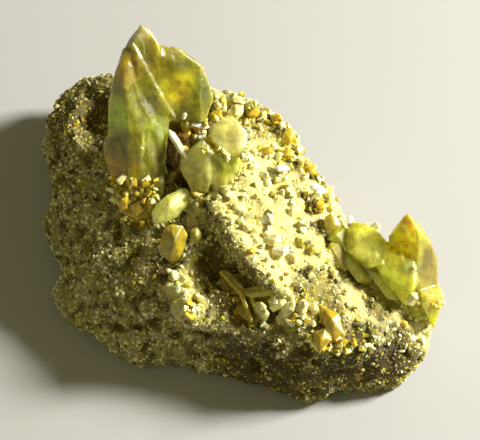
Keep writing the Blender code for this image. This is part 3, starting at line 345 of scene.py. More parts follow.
# Titanite: colour, the zones in it (middle, radius, colour), and how see-through it is.
# Some zones are the crystals' own colour; others are painted light on faces turned from the lamp,
# or painted shade on a face turned to it.
TITANITE = {
    "green": {
        "colour": (0.28, 0.27, 0.012),
        "zones": [
            # painted light on the crystal's green: the left face, turned from the lamp, made lighter
            ((-15.4, 8.0, 19.5), 3.8, (0.60, 0.72, 0.010)),
            ((-14.0, 11.6, 24.4), 3.0, (0.46, 0.33, 0.006)),
            ((-9.8, 12.4, 24.6), 2.8, (0.32, 0.26, 0.006)),
            ((-10.1, 9.1, 21.2), 2.0, (0.21, 0.21, 0.04)),
            ((-10.3, 6.2, 18.6), 2.4, (0.34, 0.40, 0.04)),
            ((-15.2, 2.6, 14.4), 4.2, (0.62, 0.42, 0.004)),
            ((-12.2, 0.8, 14.0), 3.0, (0.40, 0.33, 0.005)),
            ((-11.7, 15.6, 27.5), 2.4, (0.74, 0.66, 0.34)),
            ((-8.3, 13.5, 26.0), 1.8, (0.52, 0.46, 0.12)),
            # painted light: the middle of the upper crystal, lightened against the shade of its step
            ((-7.4, 10.3, 21.6), 3.2, (0.84, 0.74, 0.02)),
            ((-4.6, 10.6, 21.0), 2.8, (0.19, 0.22, 0.005)),
        ],
        "clearness": 0.34,
        "glow": 3.0,
        "specks": 0.65,
    },
    "olive": {
        "colour": (0.76, 0.70, 0.14),
        "zones": [
            # painted light: a face turned from the lamp, lightened as if lit through
            ((-5.6, 2.4, 17.1), 2.8, (1.0, 0.92, 0.30)),
            ((-2.0, 2.2, 17.6), 2.2, (0.48, 0.54, 0.02)),
            ((-1.4, 5.0, 19.8), 2.8, (0.80, 0.76, 0.26)),
            ((0.8, 5.2, 19.2), 2.2, (0.98, 0.93, 0.55)),
            ((11.4, -3.6, 13.4), 2.6, (0.66, 0.56, 0.08)),
        ],
        "clearness": 0.36,
        "glow": 3.0,
    },
    "lime": {
        "colour": (0.70, 0.70, 0.05),
        "zones": [
            # painted shade: the right face, which faces the lamp, darkened
            ((23.4, -8.6, 12.0), 5.4, (0.36, 0.29, 0.04)),
            ((19.9, -4.2, 16.5), 3.2, (0.60, 0.40, 0.02)),
            # painted light: the left face, turned from the lamp, lightened as if lit through
            ((18.8, -6.1, 13.9), 3.6, (1.0, 0.88, 0.02)),
            ((23.0, -11.9, 9.6), 2.2, (0.80, 0.70, 0.14)),
            ((15.4, -6.5, 13.4), 3.0, (0.74, 0.72, 0.14)),
            # painted light: the lower left, which lies in shade, lightened
            ((18.0, -11.4, 11.2), 3.0, (0.92, 0.98, 0.06)),
            ((20.2, -9.4, 12.9), 1.4, (0.62, 0.68, 0.20)),
        ],
        "clearness": 0.40,
        "glow": 3.0,
    },
    "pale_blade": {"colour": (0.92, 0.92, 0.24), "clearness": 0.28, "glow": 1.2},
    "small_olive": {"colour": (0.64, 0.56, 0.08), "clearness": 0.35, "glow": 0.3},
    "olive_brown": {
        "colour": (0.64, 0.50, 0.03),
        "clearness": 0.40,
        "glow": 0.8,
        "frost": GOLDEN_FROST,
    },
    "honey": {
        "colour": (0.62, 0.46, 0.03),
        "clearness": 0.40,
        "glow": 0.8,
        "frost": (0.76, 0.56, 0.07),
    },
    "amber": {
        "colour": (0.82, 0.60, 0.04),
        "clearness": 0.30,
        "glow": 0.35,
        "frost": GOLDEN_FROST,
    },
    "cream": {"colour": (0.94, 0.88, 0.44), "clearness": 0.15, "glow": 0.4, "specks": 0.2},
    # near-white crystals that stand for glints: painted highlights
    "white_glint": {"colour": (0.97, 0.94, 0.76), "clearness": 0.10, "glow": 0.10},
    "brown": {
        "colour": (0.52, 0.28, 0.015),
        "clearness": 0.40,
        "glow": 0.4,
        "frost": GOLDEN_FROST,
    },
}
TITANITE_IOR = 1.9
TITANITE_SPECULAR = 0.35
TITANITE_ROUGHNESS = (0.18, 0.46)  # of clear and of frosted places
TITANITE_BUMP = 0.05
ABSORPTION = ((0.88, 0.93, 0.20, 1.0), 110.0)  # colour and density
GLOW_COLOUR = (1.0, 0.85, 0.35)
EDGE_FROST = 0.5
SPECK_COLOUR = (0.30, 0.17, 0.01)
PLAIN_SPECKS = 0.35  # how strong the specks are where the look doesn't say

# Grain materials: colour, how much it varies, roughness, share of light that goes through,
# and how far light spreads in it, in millimetres.
GRAIN_FINISHES = {
    "pale": ((0.87, 0.81, 0.35), 0.30, 0.42, 0.10, 0.55),
    "olive": ((0.36, 0.34, 0.03), 0.60, 0.50, 0.10, 0.40),
    "amber": ((0.74, 0.52, 0.05), 0.40, 0.35, 0.15, 0.50),
    "rusty": ((0.26, 0.15, 0.008), 0.60, 0.70, 0.0, 0.40),
    "dark": ((0.065, 0.044, 0.006), 0.60, 0.60, 0.0, 0.40),
}
# Tints of the pale rock, and how finely they are spread.
PALE_TINTS = (
    ((0.78, 0.58, 0.12), 0.45),
    ((0.66, 0.70, 0.22), 0.33),
    ((0.90, 0.88, 0.56), 0.28),
)
GRAIN_STAIN = (0.46, 0.31, 0.02)
GRAIN_SHUFFLE = 37.0  # makes a second random number of a grain's first
GRAIN_SATURATION = (0.25, 0.93)  # how much it varies, and the least
GRAIN_HUE = (0.03, 0.485)
GRAIN_IOR = 1.55
GRAIN_BUMP = 0.04
GLINTING = (0.86, 0.98)  # grains with a number over these glint
GLINT_ROUGHNESS = 0.20
DARK_GROUND = (0.06, 0.042, 0.008)
STAINED_GROUND = (0.60, 0.47, 0.09)
BODY_ROUGHNESS = 0.9
BODY_BUMP = 0.12
FLOOR_ROUGHNESS = 0.85

# Noises in the shaders: scale per millimetre, detail, roughness.
COARSE_MARKS = (1.1, 4.0, 0.6)
FINE_MARKS = (6.0, 3.0, 0.7)
COARSE_SHARE = 0.6  # of the coarse marks beside the fine ones
CLOUDS = (0.55, 4.0, 0.65)
SPECKS = (2.8, 6.0, 0.75)
SHADES = (0.75, 5.0, 0.6)
GRAIN_STAINS = (0.35, 4.0, 0.6)
GRAIN_SURFACE = (7.0, 3.0, 0.6)
BODY_BLOTCHES = (1.6, 5.0, 0.65)
BODY_STAINS = (0.6, 5.0, 0.65)
BODY_SURFACE = (5.0, 4.0, 0.7)
TINT_DETAIL = (3.0, 0.6)
ZONE_BORDER = (0.9, 3.0, 0.55)
ZONE_WAVES = 1.5  # height of the waves in a zone's border
ZONE_CORE = 0.35  # share of a zone's radius that has its full colour
# What those noises turn into: from, to, and the values there.
WORN_EDGES = (0.35, 0.62, 0.35, 1.0)
CLOUDY = (0.46, 0.70)
SPECKLED = (0.56, 0.63, 0.0)
SHADED = (0.32, 0.68, 0.62, 1.2)
GRAIN_STAINED = (0.50, 0.72, 0.0, 0.34)
TINTED = (0.48, 0.62, 0.0, 0.65)
BLOTCHED = (0.42, 0.66, 0.0, 0.5)
BODY_STAINED = (0.46, 0.62, 0.0, 0.75)

# A way up that meets no edge exactly, and a small step along it.
RAY = Vector((0.01, 0.02, 1.0))
RAY_STEP = Vector((0.00001, 0.00002, 0.001))


class Graph:
    """Adds and links shader nodes."""

    def __init__(self, tree):
        self.tree = tree

    def add(self, kind, **settings):
        node = self.tree.nodes.new(kind)
        for name, value in settings.items():
            setattr(node, name, value)
        return node

    def put(self, socket, value):
        """Links another node's socket to this one, or sets a plain value on it."""
        if isinstance(value, bpy.types.NodeSocket):
            self.tree.links.new(value, socket)
        elif socket.type == "RGBA" and len(value) == 3:
            socket.default_value = (*value, 1.0)
        else:
            socket.default_value = value

    def fill(self, node, values):
        """Sets or links several inputs of a node."""
        for name, value in values.items():
            self.put(node.inputs[name], value)
        return node

    def math(self, operation, *values):
        node = self.add("ShaderNodeMath", operation=operation)
        for socket, value in zip(node.inputs, values):
            self.put(socket, value)
        return node.outputs[0]

    def vector(self, operation, first, second):
        node = self.add("ShaderNodeVectorMath", operation=operation)
        self.put(node.inputs[0], first)
        self.put(node.inputs["Scale" if operation == "SCALE" else 1], second)
        return node.outputs["Value" if operation == "DISTANCE" else "Vector"]

    def mix(self, share, first, second, blend="MIX"):
        """Two colours mixed: they are the node's inputs 6 and 7, and its output 2."""
        node = self.add("ShaderNodeMix", data_type="RGBA", blend_type=blend)
        self.put(node.inputs["Factor"], share)
        self.put(node.inputs[6], first)
        self.put(node.inputs[7], second)
        return node.outputs[2]

    def between(self, value, low, high, to_low=0.0, to_high=1.0):
        """A smooth step from low to high."""
        node = self.add("ShaderNodeMapRange", interpolation_type="SMOOTHSTEP")
        names = ("Value", "From Min", "From Max", "To Min", "To Max")
        self.fill(node, dict(zip(names, (value, low, high, to_low, to_high))))
        return node.outputs["Result"]

    def noise(self, place, scale, detail, roughness):
        node = self.add("ShaderNodeTexNoise")
        self.fill(node, {"Vector": place, "Scale": scale, "Detail": detail, "Roughness": roughness})
        return node.outputs["Fac"]

    def place(self):
        """The place on the piece in millimetres."""
        where = self.add("ShaderNodeTexCoord").outputs["Object"]
        return self.vector("SCALE", where, 1.0 / MM)

    def use(self, group, **values):
        node = self.add("ShaderNodeGroup", node_tree=group)
        return self.fill(node, values).outputs


def new_group(name, inputs, outputs):
    """A node group with these sockets, and its graph, input node and output node."""
    group = bpy.data.node_groups.new(name, "ShaderNodeTree")
    for label, kind in inputs:
        group.interface.new_socket(label, in_out="INPUT", socket_type=kind)
    for label, kind in outputs:
        group.interface.new_socket(label, in_out="OUTPUT", socket_type=kind)
    graph = Graph(group)
    return group, graph, graph.add("NodeGroupInput").outputs, graph.add("NodeGroupOutput").inputs


def zone_group():
    """A ragged round zone in the piece: 1 at its middle, 0 outside its radius."""
    group, graph, given, result = new_group(
        "colour zone",
        [("Middle", "NodeSocketVector"), ("Radius", "NodeSocketFloat")],
        [("Mask", "NodeSocketFloat")],
    )
    place = graph.place()
    away = graph.vector("DISTANCE", place, given["Middle"])
    border = graph.noise(place, *ZONE_BORDER)
    ragged = graph.math("MULTIPLY_ADD", border, ZONE_WAVES, -ZONE_WAVES / 2.0)
    share = graph.math("DIVIDE", graph.math("ADD", away, ragged), given["Radius"])
    graph.put(result["Mask"], graph.between(share, 1.0, ZONE_CORE))
    return group


def grain_group():
    """Gives each grain a tone of its own, and a random number for it."""
    group, graph, given, result = new_group(
        "grain shade",
        [("Colour", "NodeSocketColor"), ("Variation", "NodeSocketFloat")],
        [("Colour", "NodeSocketColor"), ("Chance", "NodeSocketFloat")],
    )
    chance = graph.add("ShaderNodeNewGeometry").outputs["Random Per Island"]
    spread = graph.math("MULTIPLY", graph.math("SUBTRACT", chance, 0.5), given["Variation"])
    other = graph.math("FRACT", graph.math("MULTIPLY", chance, GRAIN_SHUFFLE))
    hue = graph.add("ShaderNodeHueSaturation")
    graph.fill(hue, {
        "Hue": graph.math("MULTIPLY_ADD", other, *GRAIN_HUE),
        "Saturation": graph.math("MULTIPLY_ADD", other, *GRAIN_SATURATION),
        "Value": graph.math("ADD", spread, 1.0),
        "Color": given["Colour"],
    })
    graph.put(result["Colour"], hue.outputs["Color"])
    graph.put(result["Chance"], other)
    return group


def surface_group():
    """Fine growth marks: a height for a bump, and masks of frosted places and worn edges."""
    group, graph, _, result = new_group(
        "growth marks",
        [],
        [("Height", "NodeSocketFloat"), ("Frost", "NodeSocketFloat"), ("Edge", "NodeSocketFloat")],
    )
    place = graph.place()
    coarse, fine = graph.noise(place, *COARSE_MARKS), graph.noise(place, *FINE_MARKS)
    height = graph.math("ADD", graph.math("MULTIPLY", coarse, COARSE_SHARE), fine)
    graph.put(result["Height"], height)
    edge = graph.add("ShaderNodeAttribute", attribute_name="edge").outputs["Fac"]
    worn = graph.math("MULTIPLY", edge, graph.between(coarse, *WORN_EDGES))
    graph.put(result["Edge"], worn)
    cloudy = graph.between(graph.noise(place, *CLOUDS), *CLOUDY)
    graph.put(result["Frost"], graph.math("MAXIMUM", worn, cloudy))
    return group


def new_material(name):
    material = bpy.data.materials.new(name)
    material.use_nodes = True
    graph = Graph(material.node_tree)
    shader = material.node_tree.nodes["Principled BSDF"]
    output = material.node_tree.nodes["Material Output"]
    return material, graph, shader, output


def add_bump(graph, shader, height, depth):
    bump = graph.add("ShaderNodeBump")
    graph.fill(bump, {"Strength": 1.0, "Distance": depth * MM, "Height": height})
    graph.put(shader.inputs["Normal"], bump.outputs["Normal"])


def grey_of(graph, value):
    node = graph.add("ShaderNodeCombineColor")
    for socket in node.inputs:
        graph.put(socket, value)
    return node.outputs["Color"]


def titanite_material(name, look, groups):
    material, graph, shader, output = new_material("titanite_" + name)
    marks = graph.use(groups["marks"])
    colour = look["colour"]
    for middle, radius, tint in look.get("zones", ()):
        mask = graph.use(groups["zone"], Middle=middle, Radius=radius)["Mask"]
        colour = graph.mix(mask, colour, tint)
    most = look.get("specks", PLAIN_SPECKS)
    speck = graph.between(graph.noise(graph.place(), *SPECKS), *SPECKLED, most)
    colour = graph.mix(speck, colour, SPECK_COLOUR)
    frost = look.get("frost", FROST)
    colour = graph.mix(graph.math("MULTIPLY", marks["Edge"], EDGE_FROST), colour, frost)
    shade = graph.between(graph.noise(graph.place(), *SHADES), *SHADED)
    colour = graph.mix(1.0, colour, grey_of(graph, shade), "MULTIPLY")
    graph.fill(shader, {
        "Base Color": colour,
        "Roughness": graph.between(marks["Frost"], 0.0, 1.0, *TITANITE_ROUGHNESS),
        "Metallic": 0.0,
        "IOR": TITANITE_IOR,
        "Specular IOR Level": TITANITE_SPECULAR,
        "Subsurface Weight": 1.0,
        "Subsurface Radius": GLOW_COLOUR,
        "Subsurface Scale": look["glow"] * MM,
        "Transmission Weight": look["clearness"],
    })
    add_bump(graph, shader, marks["Height"], TITANITE_BUMP)
    absorbing = graph.add("ShaderNodeVolumeAbsorption")
    graph.fill(absorbing, dict(zip(("Color", "Density"), ABSORPTION)))
    graph.put(output.inputs["Volume"], absorbing.outputs["Volume"])
    return material


def grain_material(name, groups):
    colour, variation, roughness, clearness, glow = GRAIN_FINISHES[name]
    material, graph, shader, _ = new_material(name + "_grains")
    shade = graph.use(groups["grain"], Colour=colour, Variation=variation)
    stain = graph.between(graph.noise(graph.place(), *GRAIN_STAINS), *GRAIN_STAINED)
    colour = graph.mix(stain, shade["Colour"], GRAIN_STAIN)
    if name == "pale":
        for tint, scale in PALE_TINTS:
            mask = graph.between(graph.noise(graph.place(), scale, *TINT_DETAIL), *TINTED)
            colour = graph.mix(mask, colour, tint)
    graph.fill(shader, {
        "Base Color": colour,
        "Roughness": graph.between(shade["Chance"], *GLINTING, roughness, GLINT_ROUGHNESS),
        "Metallic": 0.0,
        "IOR": GRAIN_IOR,
        "Subsurface Weight": 1.0,
        "Subsurface Radius": (1.0, 1.0, 1.0),
        "Subsurface Scale": glow * MM,
        "Transmission Weight": clearness,
    })
    add_bump(graph, shader, graph.noise(graph.place(), *GRAIN_SURFACE), GRAIN_BUMP)
    return material


def body_material():
    """The rock between and under its grains."""
    material, graph, shader, _ = new_material("rock_body")
    place = graph.place()
    ground = graph.add("ShaderNodeAttribute", attribute_name="ground").outputs
    blotch = graph.between(graph.noise(place, *BODY_BLOTCHES), *BLOTCHED)
    blotch = graph.math("MULTIPLY", blotch, ground["Alpha"])
    colour = graph.mix(blotch, ground["Color"], DARK_GROUND)
    stain = graph.between(graph.noise(place, *BODY_STAINS), *BODY_STAINED)
    stain = graph.math("MULTIPLY", stain, graph.math("SUBTRACT", 1.0, ground["Alpha"]))
    colour = graph.mix(stain, colour, STAINED_GROUND)
    graph.fill(shader, {"Base Color": colour, "Roughness": BODY_ROUGHNESS, "Metallic": 0.0})
    add_bump(graph, shader, graph.noise(place, *BODY_SURFACE), BODY_BUMP)
    return material


def floor_material():
    material, graph, shader, _ = new_material("floor")
    graph.fill(shader, {"Base Color": FLOOR_COLOUR, "Roughness": FLOOR_ROUGHNESS})
    return material


def make_materials():
    groups = {"zone": zone_group(), "grain": grain_group(), "marks": surface_group()}
    materials = {"rock_body": body_material(), "floor": floor_material()}
    for name in MINERALS:
        materials[name + "_grains"] = grain_material(name, groups)
    for name, look in TITANITE.items():
        materials[name] = titanite_material(name, look, groups)
    return materials


def new_object(name, data):
    obj = bpy.data.objects.new(name, data)
    bpy.context.scene.collection.objects.link(obj)
    return obj


def add_object(name, mesh, material):
    obj = new_object(name, mesh)
    mesh.materials.clear()
    mesh.materials.append(material)
    return obj


def add_piece(name, mesh, material, slot, replaced=()):
    """A piece of the specimen, riding on its one body."""
    obj = add_object(name, mesh, material)
    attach(obj, "root")
    if replaced:
        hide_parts(*replaced)
    return obj


def remeshed(mesh, voxel, smoothing):
    """A copy of the mesh as a fine, even surface."""
    obj = new_object("remeshing", mesh.copy())
    remesh = obj.modifiers.new("fine", "REMESH")
    remesh.mode = "VOXEL"
    remesh.voxel_size = voxel * MM
    if smoothing:
        smooth = obj.modifiers.new("smooth", "SMOOTH")
        smooth.factor = SMOOTHING_SHARE
        smooth.iterations = smoothing
    graph = bpy.context.evaluated_depsgraph_get()
    made = bpy.data.meshes.new_from_object(obj.evaluated_get(graph))
    bpy.data.objects.remove(obj)
    made.materials.clear()
    return made


def read_rows(items, name, width, kind):
    """What all of these items of a mesh have under this name, a row for each."""
    values = np.empty(len(items) * width, kind)
    items.foreach_get(name, values)
    return values.reshape(-1, width)


def read_points(mesh):
    """Places, in millimetres, and normals of the mesh's vertices."""
    points = read_rows(mesh.vertices, "co", 3, np.float32)
    normals = read_rows(mesh.vertices, "normal", 3, np.float32)
    return points.astype(float) / MM, normals.astype(float)


def write_points(mesh, points):
    mesh.vertices.foreach_set("co", (points * MM).astype(np.float32).ravel())
    mesh.update()


def noise_at(points, size):
    """Soft noise from about -1 to 1 at each point, with lumps of this size."""
    return np.array([noise.noise(Vector(point)) for point in points / size])


def pit_depths(points):
    """How deep the rock is pitted at each point."""
    size, rareness, widest, steepness = PITS
    return np.clip(-noise_at(points + PIT_SHIFT, size) - rareness, 0.0, widest) * steepness


def distances(points, start, end):
    """Distance of each point from the line between these ends."""
    start, end = np.array(start), np.array(end)
    along = np.clip((points - start) @ (end - start) / ((end - start) @ (end - start)), 0.0, 1.0)
    return np.linalg.norm(points - start - along[:, None] * (end - start), axis=1)


def rock_body(crystals, materials):
    """The rock as a fine, knobbly surface that the grains are set in."""
    mesh = remeshed(frame["nodes"]["matrix"].data, ROCK_VOXEL, ROCK_SMOOTHING)
    points, normals = read_points(mesh)
    near, far = SOCKET_ZONE
    away = np.array([crystals.find_nearest(Vector(point), far)[3] or far for point in points])
    fade = np.clip(points[:, 2] / LOW_ZONE, 0.0, 1.0)
    fade *= np.clip((away - near) / (far - near), 0.0, 1.0)
    pale = paleness(mineral_shares(points))
    for size, height in ROCK_RELIEF:
        rise = noise_at(points, size) * height * (1.0 - PALE_SMOOTHER * pale)
        points += normals * (rise * fade)[:, None]
    for start, end, radius, height in MOUNDS:
        rise = smooth_step(1.0 - distances(points, start, end) / radius) * height
        points += normals * (rise * fade)[:, None]
    points -= normals * (pit_depths(points) * (1.0 - PALE_UNPITTED * pale) * fade)[:, None]
    points[:, 2] = np.maximum(points[:, 2], 0.0)
    write_points(mesh, points)
    # the ground colour follows the shares, so it carries their painted light and shade, and is darker
    # under dark minerals
    colours = np.ones((len(points), 4))
    shares = mineral_shares(points)
    lightest = np.maximum(shares[:, :1], shares[:, 2:3])
    shade = GROUND_SHADE + (1.0 - GROUND_SHADE) * lightest ** 2
    colours[:, :3] = shares @ np.array(GROUND_COLOURS) * shade
    colours[:, 3] = 1.0 - PALE_UNBLOTCHED * paleness(shares)
    ground = mesh.attributes.new("ground", "FLOAT_COLOR", "POINT")
    ground.data.foreach_set("color", colours.astype(np.float32).ravel())
    mesh.shade_smooth()
    return add_piece("rock_body", mesh, materials["rock_body"], "rock", ["matrix"])


class Ground:
    """The rock's surface as triangles, to set grains on."""

    def __init__(self, mesh):
        mesh.calc_loop_triangles()
        corners = read_rows(mesh.loop_triangles, "vertices", 3, np.int32)
        points, _ = read_points(mesh)
        self.triangles = points[corners]
        cross = np.cross(
            self.triangles[:, 1] - self.triangles[:, 0], self.triangles[:, 2] - self.triangles[:, 0]
        )
        size = np.linalg.norm(cross, axis=1)
        self.normals = cross / np.maximum(size, TINY)[:, None]
        self.shares = size / size.sum()
        self.tree = BVHTree.FromPolygons(points.tolist(), corners.tolist())

    def sample(self, dice, count):
        """Random places all over it, and the way out at each."""
        chosen = dice.choice(len(self.triangles), count, p=self.shares)
        first, second = dice.random(count), dice.random(count)
        over = first + second > 1.0
        first[over], second[over] = 1.0 - first[over], 1.0 - second[over]
        start, right, left = (self.triangles[chosen, corner] for corner in range(3))
        points = start + (right - start) * first[:, None] + (left - start) * second[:, None]
        return points, self.normals[chosen]


def crystal_tree():
    """All crystals as one set of faces, to keep grains out of them."""
    points, faces = [], []
    for name, node in frame["nodes"].items():
        if name == "matrix":
            continue
        start = len(points)
        points += [vert.co / MM for vert in node.data.vertices]
        faces += [[start + corner for corner in face.vertices] for face in node.data.polygons]
    return BVHTree.FromPolygons(points, faces)


def inside(tree, point):
    """Whether a line up from the point leaves the crystals once more than it enters them."""
    crossings, start = 0, point
    while True:
        hit = tree.ray_cast(start, RAY)[0]
        if hit is None:
            return crossings % 2 == 1
        crossings += 1
        start = hit + RAY_STEP


def clear_of(tree, point, gap):
    """Whether a point is outside the crystals and at least this far from them."""
    away = tree.find_nearest(point)[3]
    return away > gap and not inside(tree, point)


def thinned(points, gap):
    """Numbers of the points that are left when each keeps its neighbours this far away."""
    cells, kept = {}, []
    for number, point in enumerate(points):
        cell = tuple(int(axis // gap) for axis in point)
        near = [
            cells[x, y, z]
            for x in range(cell[0] - 1, cell[0] + 2)
            for y in range(cell[1] - 1, cell[1] + 2)
            for z in range(cell[2] - 1, cell[2] + 2)
            if (x, y, z) in cells
        ]
        if all(sum((point - other) ** 2) > gap * gap for other in near):
            cells[cell] = point
            kept.append(number)
    return kept


def hull_arrays(bm):
    bmesh.ops.triangulate(bm, faces=bm.faces)
    bm.verts.index_update()
    points = np.array([vert.co for vert in bm.verts])
    faces = np.array([[vert.index for vert in face.verts] for face in bm.faces])
    bm.free()
    return points, faces


def random_shift(chance, most):
    """A move by at most this much along each axis."""
    return Vector([chance.uniform(-most, most) for _ in range(3)])


def grain_forms(chance, corners):
    """Small angular solids of about unit radius."""
    forms = []
    for _ in range(GRAIN_FORMS):
        stretch = Vector([chance.uniform(*GRAIN_STRETCH) for _ in range(3)])
        bm = bmesh.new()
        for _ in range(corners):
            way = Vector([chance.gauss(0.0, 1.0) for _ in range(3)]).normalized()
            bm.verts.new(way * chance.uniform(*GRAIN_UNEVENNESS) * stretch)
        hull = bmesh.ops.convex_hull(bm, input=bm.verts)
        loose = [part for part in hull["geom_interior"] if isinstance(part, bmesh.types.BMVert)]
        bmesh.ops.delete(bm, geom=loose, context="VERTS")
        forms.append(hull_arrays(bm))
    return forms


def block_forms(chance):
    """Small crystals: slanted blocks with bevelled edges."""
    forms = []
    for _ in range(BLOCK_FORMS):
        bm = bmesh.new()
        bmesh.ops.create_cube(bm, size=BLOCK_SIZE)
        squeeze, flatness, tallness = (chance.uniform(*ends) for ends in BLOCK_SHAPE)
        for vert in bm.verts:
            shift = random_shift(chance, BLOCK_SLANT)
            narrow = squeeze if vert.co.z > 0.0 else 1.0
            vert.co = Vector((vert.co.x * narrow, vert.co.y * flatness, vert.co.z * tallness)) + shift
        hull = bmesh.ops.convex_hull(bm, input=bm.verts)
        extra = [face for face in bm.faces if face not in hull["geom"]]
        bmesh.ops.delete(bm, geom=extra, context="FACES_ONLY")
        bmesh.ops.recalc_face_normals(bm, faces=bm.faces)
        bmesh.ops.bevel(
            bm, geom=bm.edges[:], offset=BLOCK_BEVEL, segments=1, affect="EDGES", profile=0.5
        )
        forms.append(hull_arrays(bm))
    return forms


def random_turn(chance):
    turn = Matrix.Rotation(chance.uniform(0.0, math.tau), 3, "Z")
    turn = Matrix.Rotation(chance.uniform(0.0, math.tau), 3, "X") @ turn
    return np.array(Matrix.Rotation(chance.uniform(0.0, math.tau), 3, "Y") @ turn)


def joined_mesh(name, copies):
    """One mesh from (form, turn, radius, place) copies, in millimetres."""
    points, faces, start = [], [], 0
    for (corners, triangles), turn, radius, place in copies:
        points.append((corners @ turn.T) * radius + place)
        faces.append(triangles + start)
        start += len(corners)
    mesh = bpy.data.meshes.new(name)
    mesh.from_pydata(np.concatenate(points) * MM, [], np.concatenate(faces))
    mesh.update()
    return mesh


def smooth_step(value):
    value = np.clip(value, 0.0, 1.0)
    return value * value * (3.0 - 2.0 * value)


def left_of(points, line):
    """Distance of each point to the left of a line on the map, seen from its start."""
    (start_x, start_y), (end_x, end_y) = line
    over, up = end_x - start_x, end_y - start_y
    across = (points[:, 1] - start_y) * over - (points[:, 0] - start_x) * up
    return across / math.hypot(over, up)


def paleness(shares):
    """1 where nearly all grains are pale, and 0 where fewer than two thirds are."""
    start, span = PALE_RANGE
    return smooth_step((shares[..., 0] - start) / span)


def past_border(distances_past, blur):
    """1 well past a border, half on it, and 0 well before it."""
    return smooth_step(distances_past / blur / 2.0 + 0.5)


def blended(first, second, share):
    """The first shares of the minerals, giving way to the second ones."""
    return np.asarray(first) * (1.0 - share) + np.asarray(second) * share


def mineral_shares(points):
    """Shares of the minerals at each of these places, with painted light on the lit slope and
    painted shade on the front strip and in the pits.
    """
    wave_size, wave_height = WOBBLE
    wobble = noise_at(points, wave_size) * wave_height
    rough = noise_at(points + ROUGH_SHIFT, ROUGH_SIZE)
    across, along = zip(*RIDGE)
    past = points[:, 0] - np.interp(points[:, 1], along, across)
    ridge = past_border(past + wobble * RIDGE_WOBBLE, RIDGE_BLUR)
    foot = past_border(left_of(points, SLOPE_FOOT) + rough, FOOT_BLUR)
    bright = (ridge * foot)[:, None]
    low = smooth_step((STRIP_TOP - points[:, 2] + wobble) / STRIP_BLUR)
    strip = low * (1.0 - foot) * smooth_step((points[:, 0] - STRIP_START) / STRIP_FADE)
    shares = blended(SHADY_SIDE, FRONT_STRIP_SHADE, strip[:, None])
    shares = blended(shares, BRIGHT_SLOPE, bright)
    far = smooth_step((-left_of(points, CREST) + rough - CREST_GAP) / CREST_BLUR)
    top, blur = LOW_RIGHT
    far = np.maximum(far, smooth_step((top - points[:, 2] + wobble) / blur) * ridge)
    shares = blended(shares, FAR_SIDE, far[:, None])
    for middle, radius, patch in PATCHES:
        away = np.linalg.norm(points - middle, axis=1) + rough * PATCH_RAGGEDNESS
        share = smooth_step((1.0 - away / radius) * PATCH_SHARPNESS)
        shares = blended(shares, patch, share[:, None])
    sharpness, rareness = MOSS_SPREAD
    blotch = smooth_step(noise_at(points + MOSS_SHIFT, MOSS_SIZE) * sharpness - rareness)[:, None]
    blotch *= MOSS_MOST - MOSS_FADE * bright
    shares = blended(shares, shares * np.array(MOSS_KEEPS) + np.array(MOSS), blotch)
    # the pits get darker minerals: painted shade
    pit = np.clip(pit_depths(points) * PIT_SHADE_SHARE, 0.0, 1.0)
    pit *= 1.0 - PALE_UNPITTED * paleness(shares)
    shares = blended(shares, PIT_SHADE, pit[:, None])
    return shares / shares.sum(axis=1)[:, None]


def set_grains(ground, crystals, dice, chance, tries, gap, radii):
    """Places, sizes and minerals of grains all over the rock."""
    points, normals = ground.sample(dice, tries)
    kept = [
        number
        for number in thinned(points, gap)
        if points[number][2] > GRAIN_FLOOR
        and clear_of(crystals, Vector(points[number]), CRYSTAL_CLEAR)
    ]
    points, normals = points[kept], normals[kept]
    for point, out, shares in zip(points, normals, mineral_shares(points)):
        radius = chance.uniform(*radii)
        place = point - out * radius * (GRAIN_SINK + PALE_DEEPER * paleness(shares))
        place[2] = max(place[2], radius * GRAIN_LIFT)
        yield chance.choices(MINERALS, shares)[0], radius, place


def add_minerals(kind, copies, materials):
    """One joined piece of the grains of each mineral."""
    for mineral in MINERALS:
        if copies[mineral]:
            name = f"{mineral}_{kind}"
            mesh = joined_mesh(name, copies[mineral])
            slot = "amber" if mineral == "amber" else "rock"
            add_piece(name, mesh, materials[mineral + "_grains"], slot)


def add_grains(ground, crystals, materials):
    """Grains and finer crumbs all over the rock."""
    dice = np.random.default_rng(SEEDS["places"])
    chance = random.Random(SEEDS["grains"])
    kinds = (
        ("grains", GRAIN_CORNERS, (GRAIN_TRIES, GRAIN_GAP, GRAIN_RADIUS)),
        ("crumbs", CRUMB_CORNERS, (CRUMB_TRIES, CRUMB_GAP, CRUMB_RADIUS)),
    )
    for kind, corners, settings in kinds:
        forms = grain_forms(chance, corners)
        copies = {mineral: [] for mineral in MINERALS}
        for mineral, radius, place in set_grains(ground, crystals, dice, chance, *settings):
            copies[mineral].append((chance.choice(forms), random_turn(chance), radius, place))
        add_minerals(kind, copies, materials)


def add_seams(ground, surfaces, materials):
    """Grains where the crystals come out of the rock, which close the gap round each root."""
    chance = random.Random(SEEDS["seams"])
    forms = grain_forms(chance, GRAIN_CORNERS)
    least, most = SEAM
    found = []
    for surface in surfaces:
        for point in read_points(surface)[0]:
            near, _, _, away = ground.tree.find_nearest(Vector(point), most)
            if near is not None and away > least and point[2] > SEAM_FLOOR:
                found.append((point + np.array(near)) / 2.0)
    found = np.array(found)[np.random.default_rng(SEEDS["seam_order"]).permutation(len(found))]
    found = found[thinned(found, SEAM_GAP)]
    copies = {mineral: [] for mineral in MINERALS}
    for place, shares in zip(found, mineral_shares(found)):
        mineral = chance.choices(MINERALS, shares)[0]
        radius = chance.uniform(*SEAM_RADIUS)
        copies[mineral].append((chance.choice(forms), random_turn(chance), radius, place))
    add_minerals("seam_grains", copies, materials)


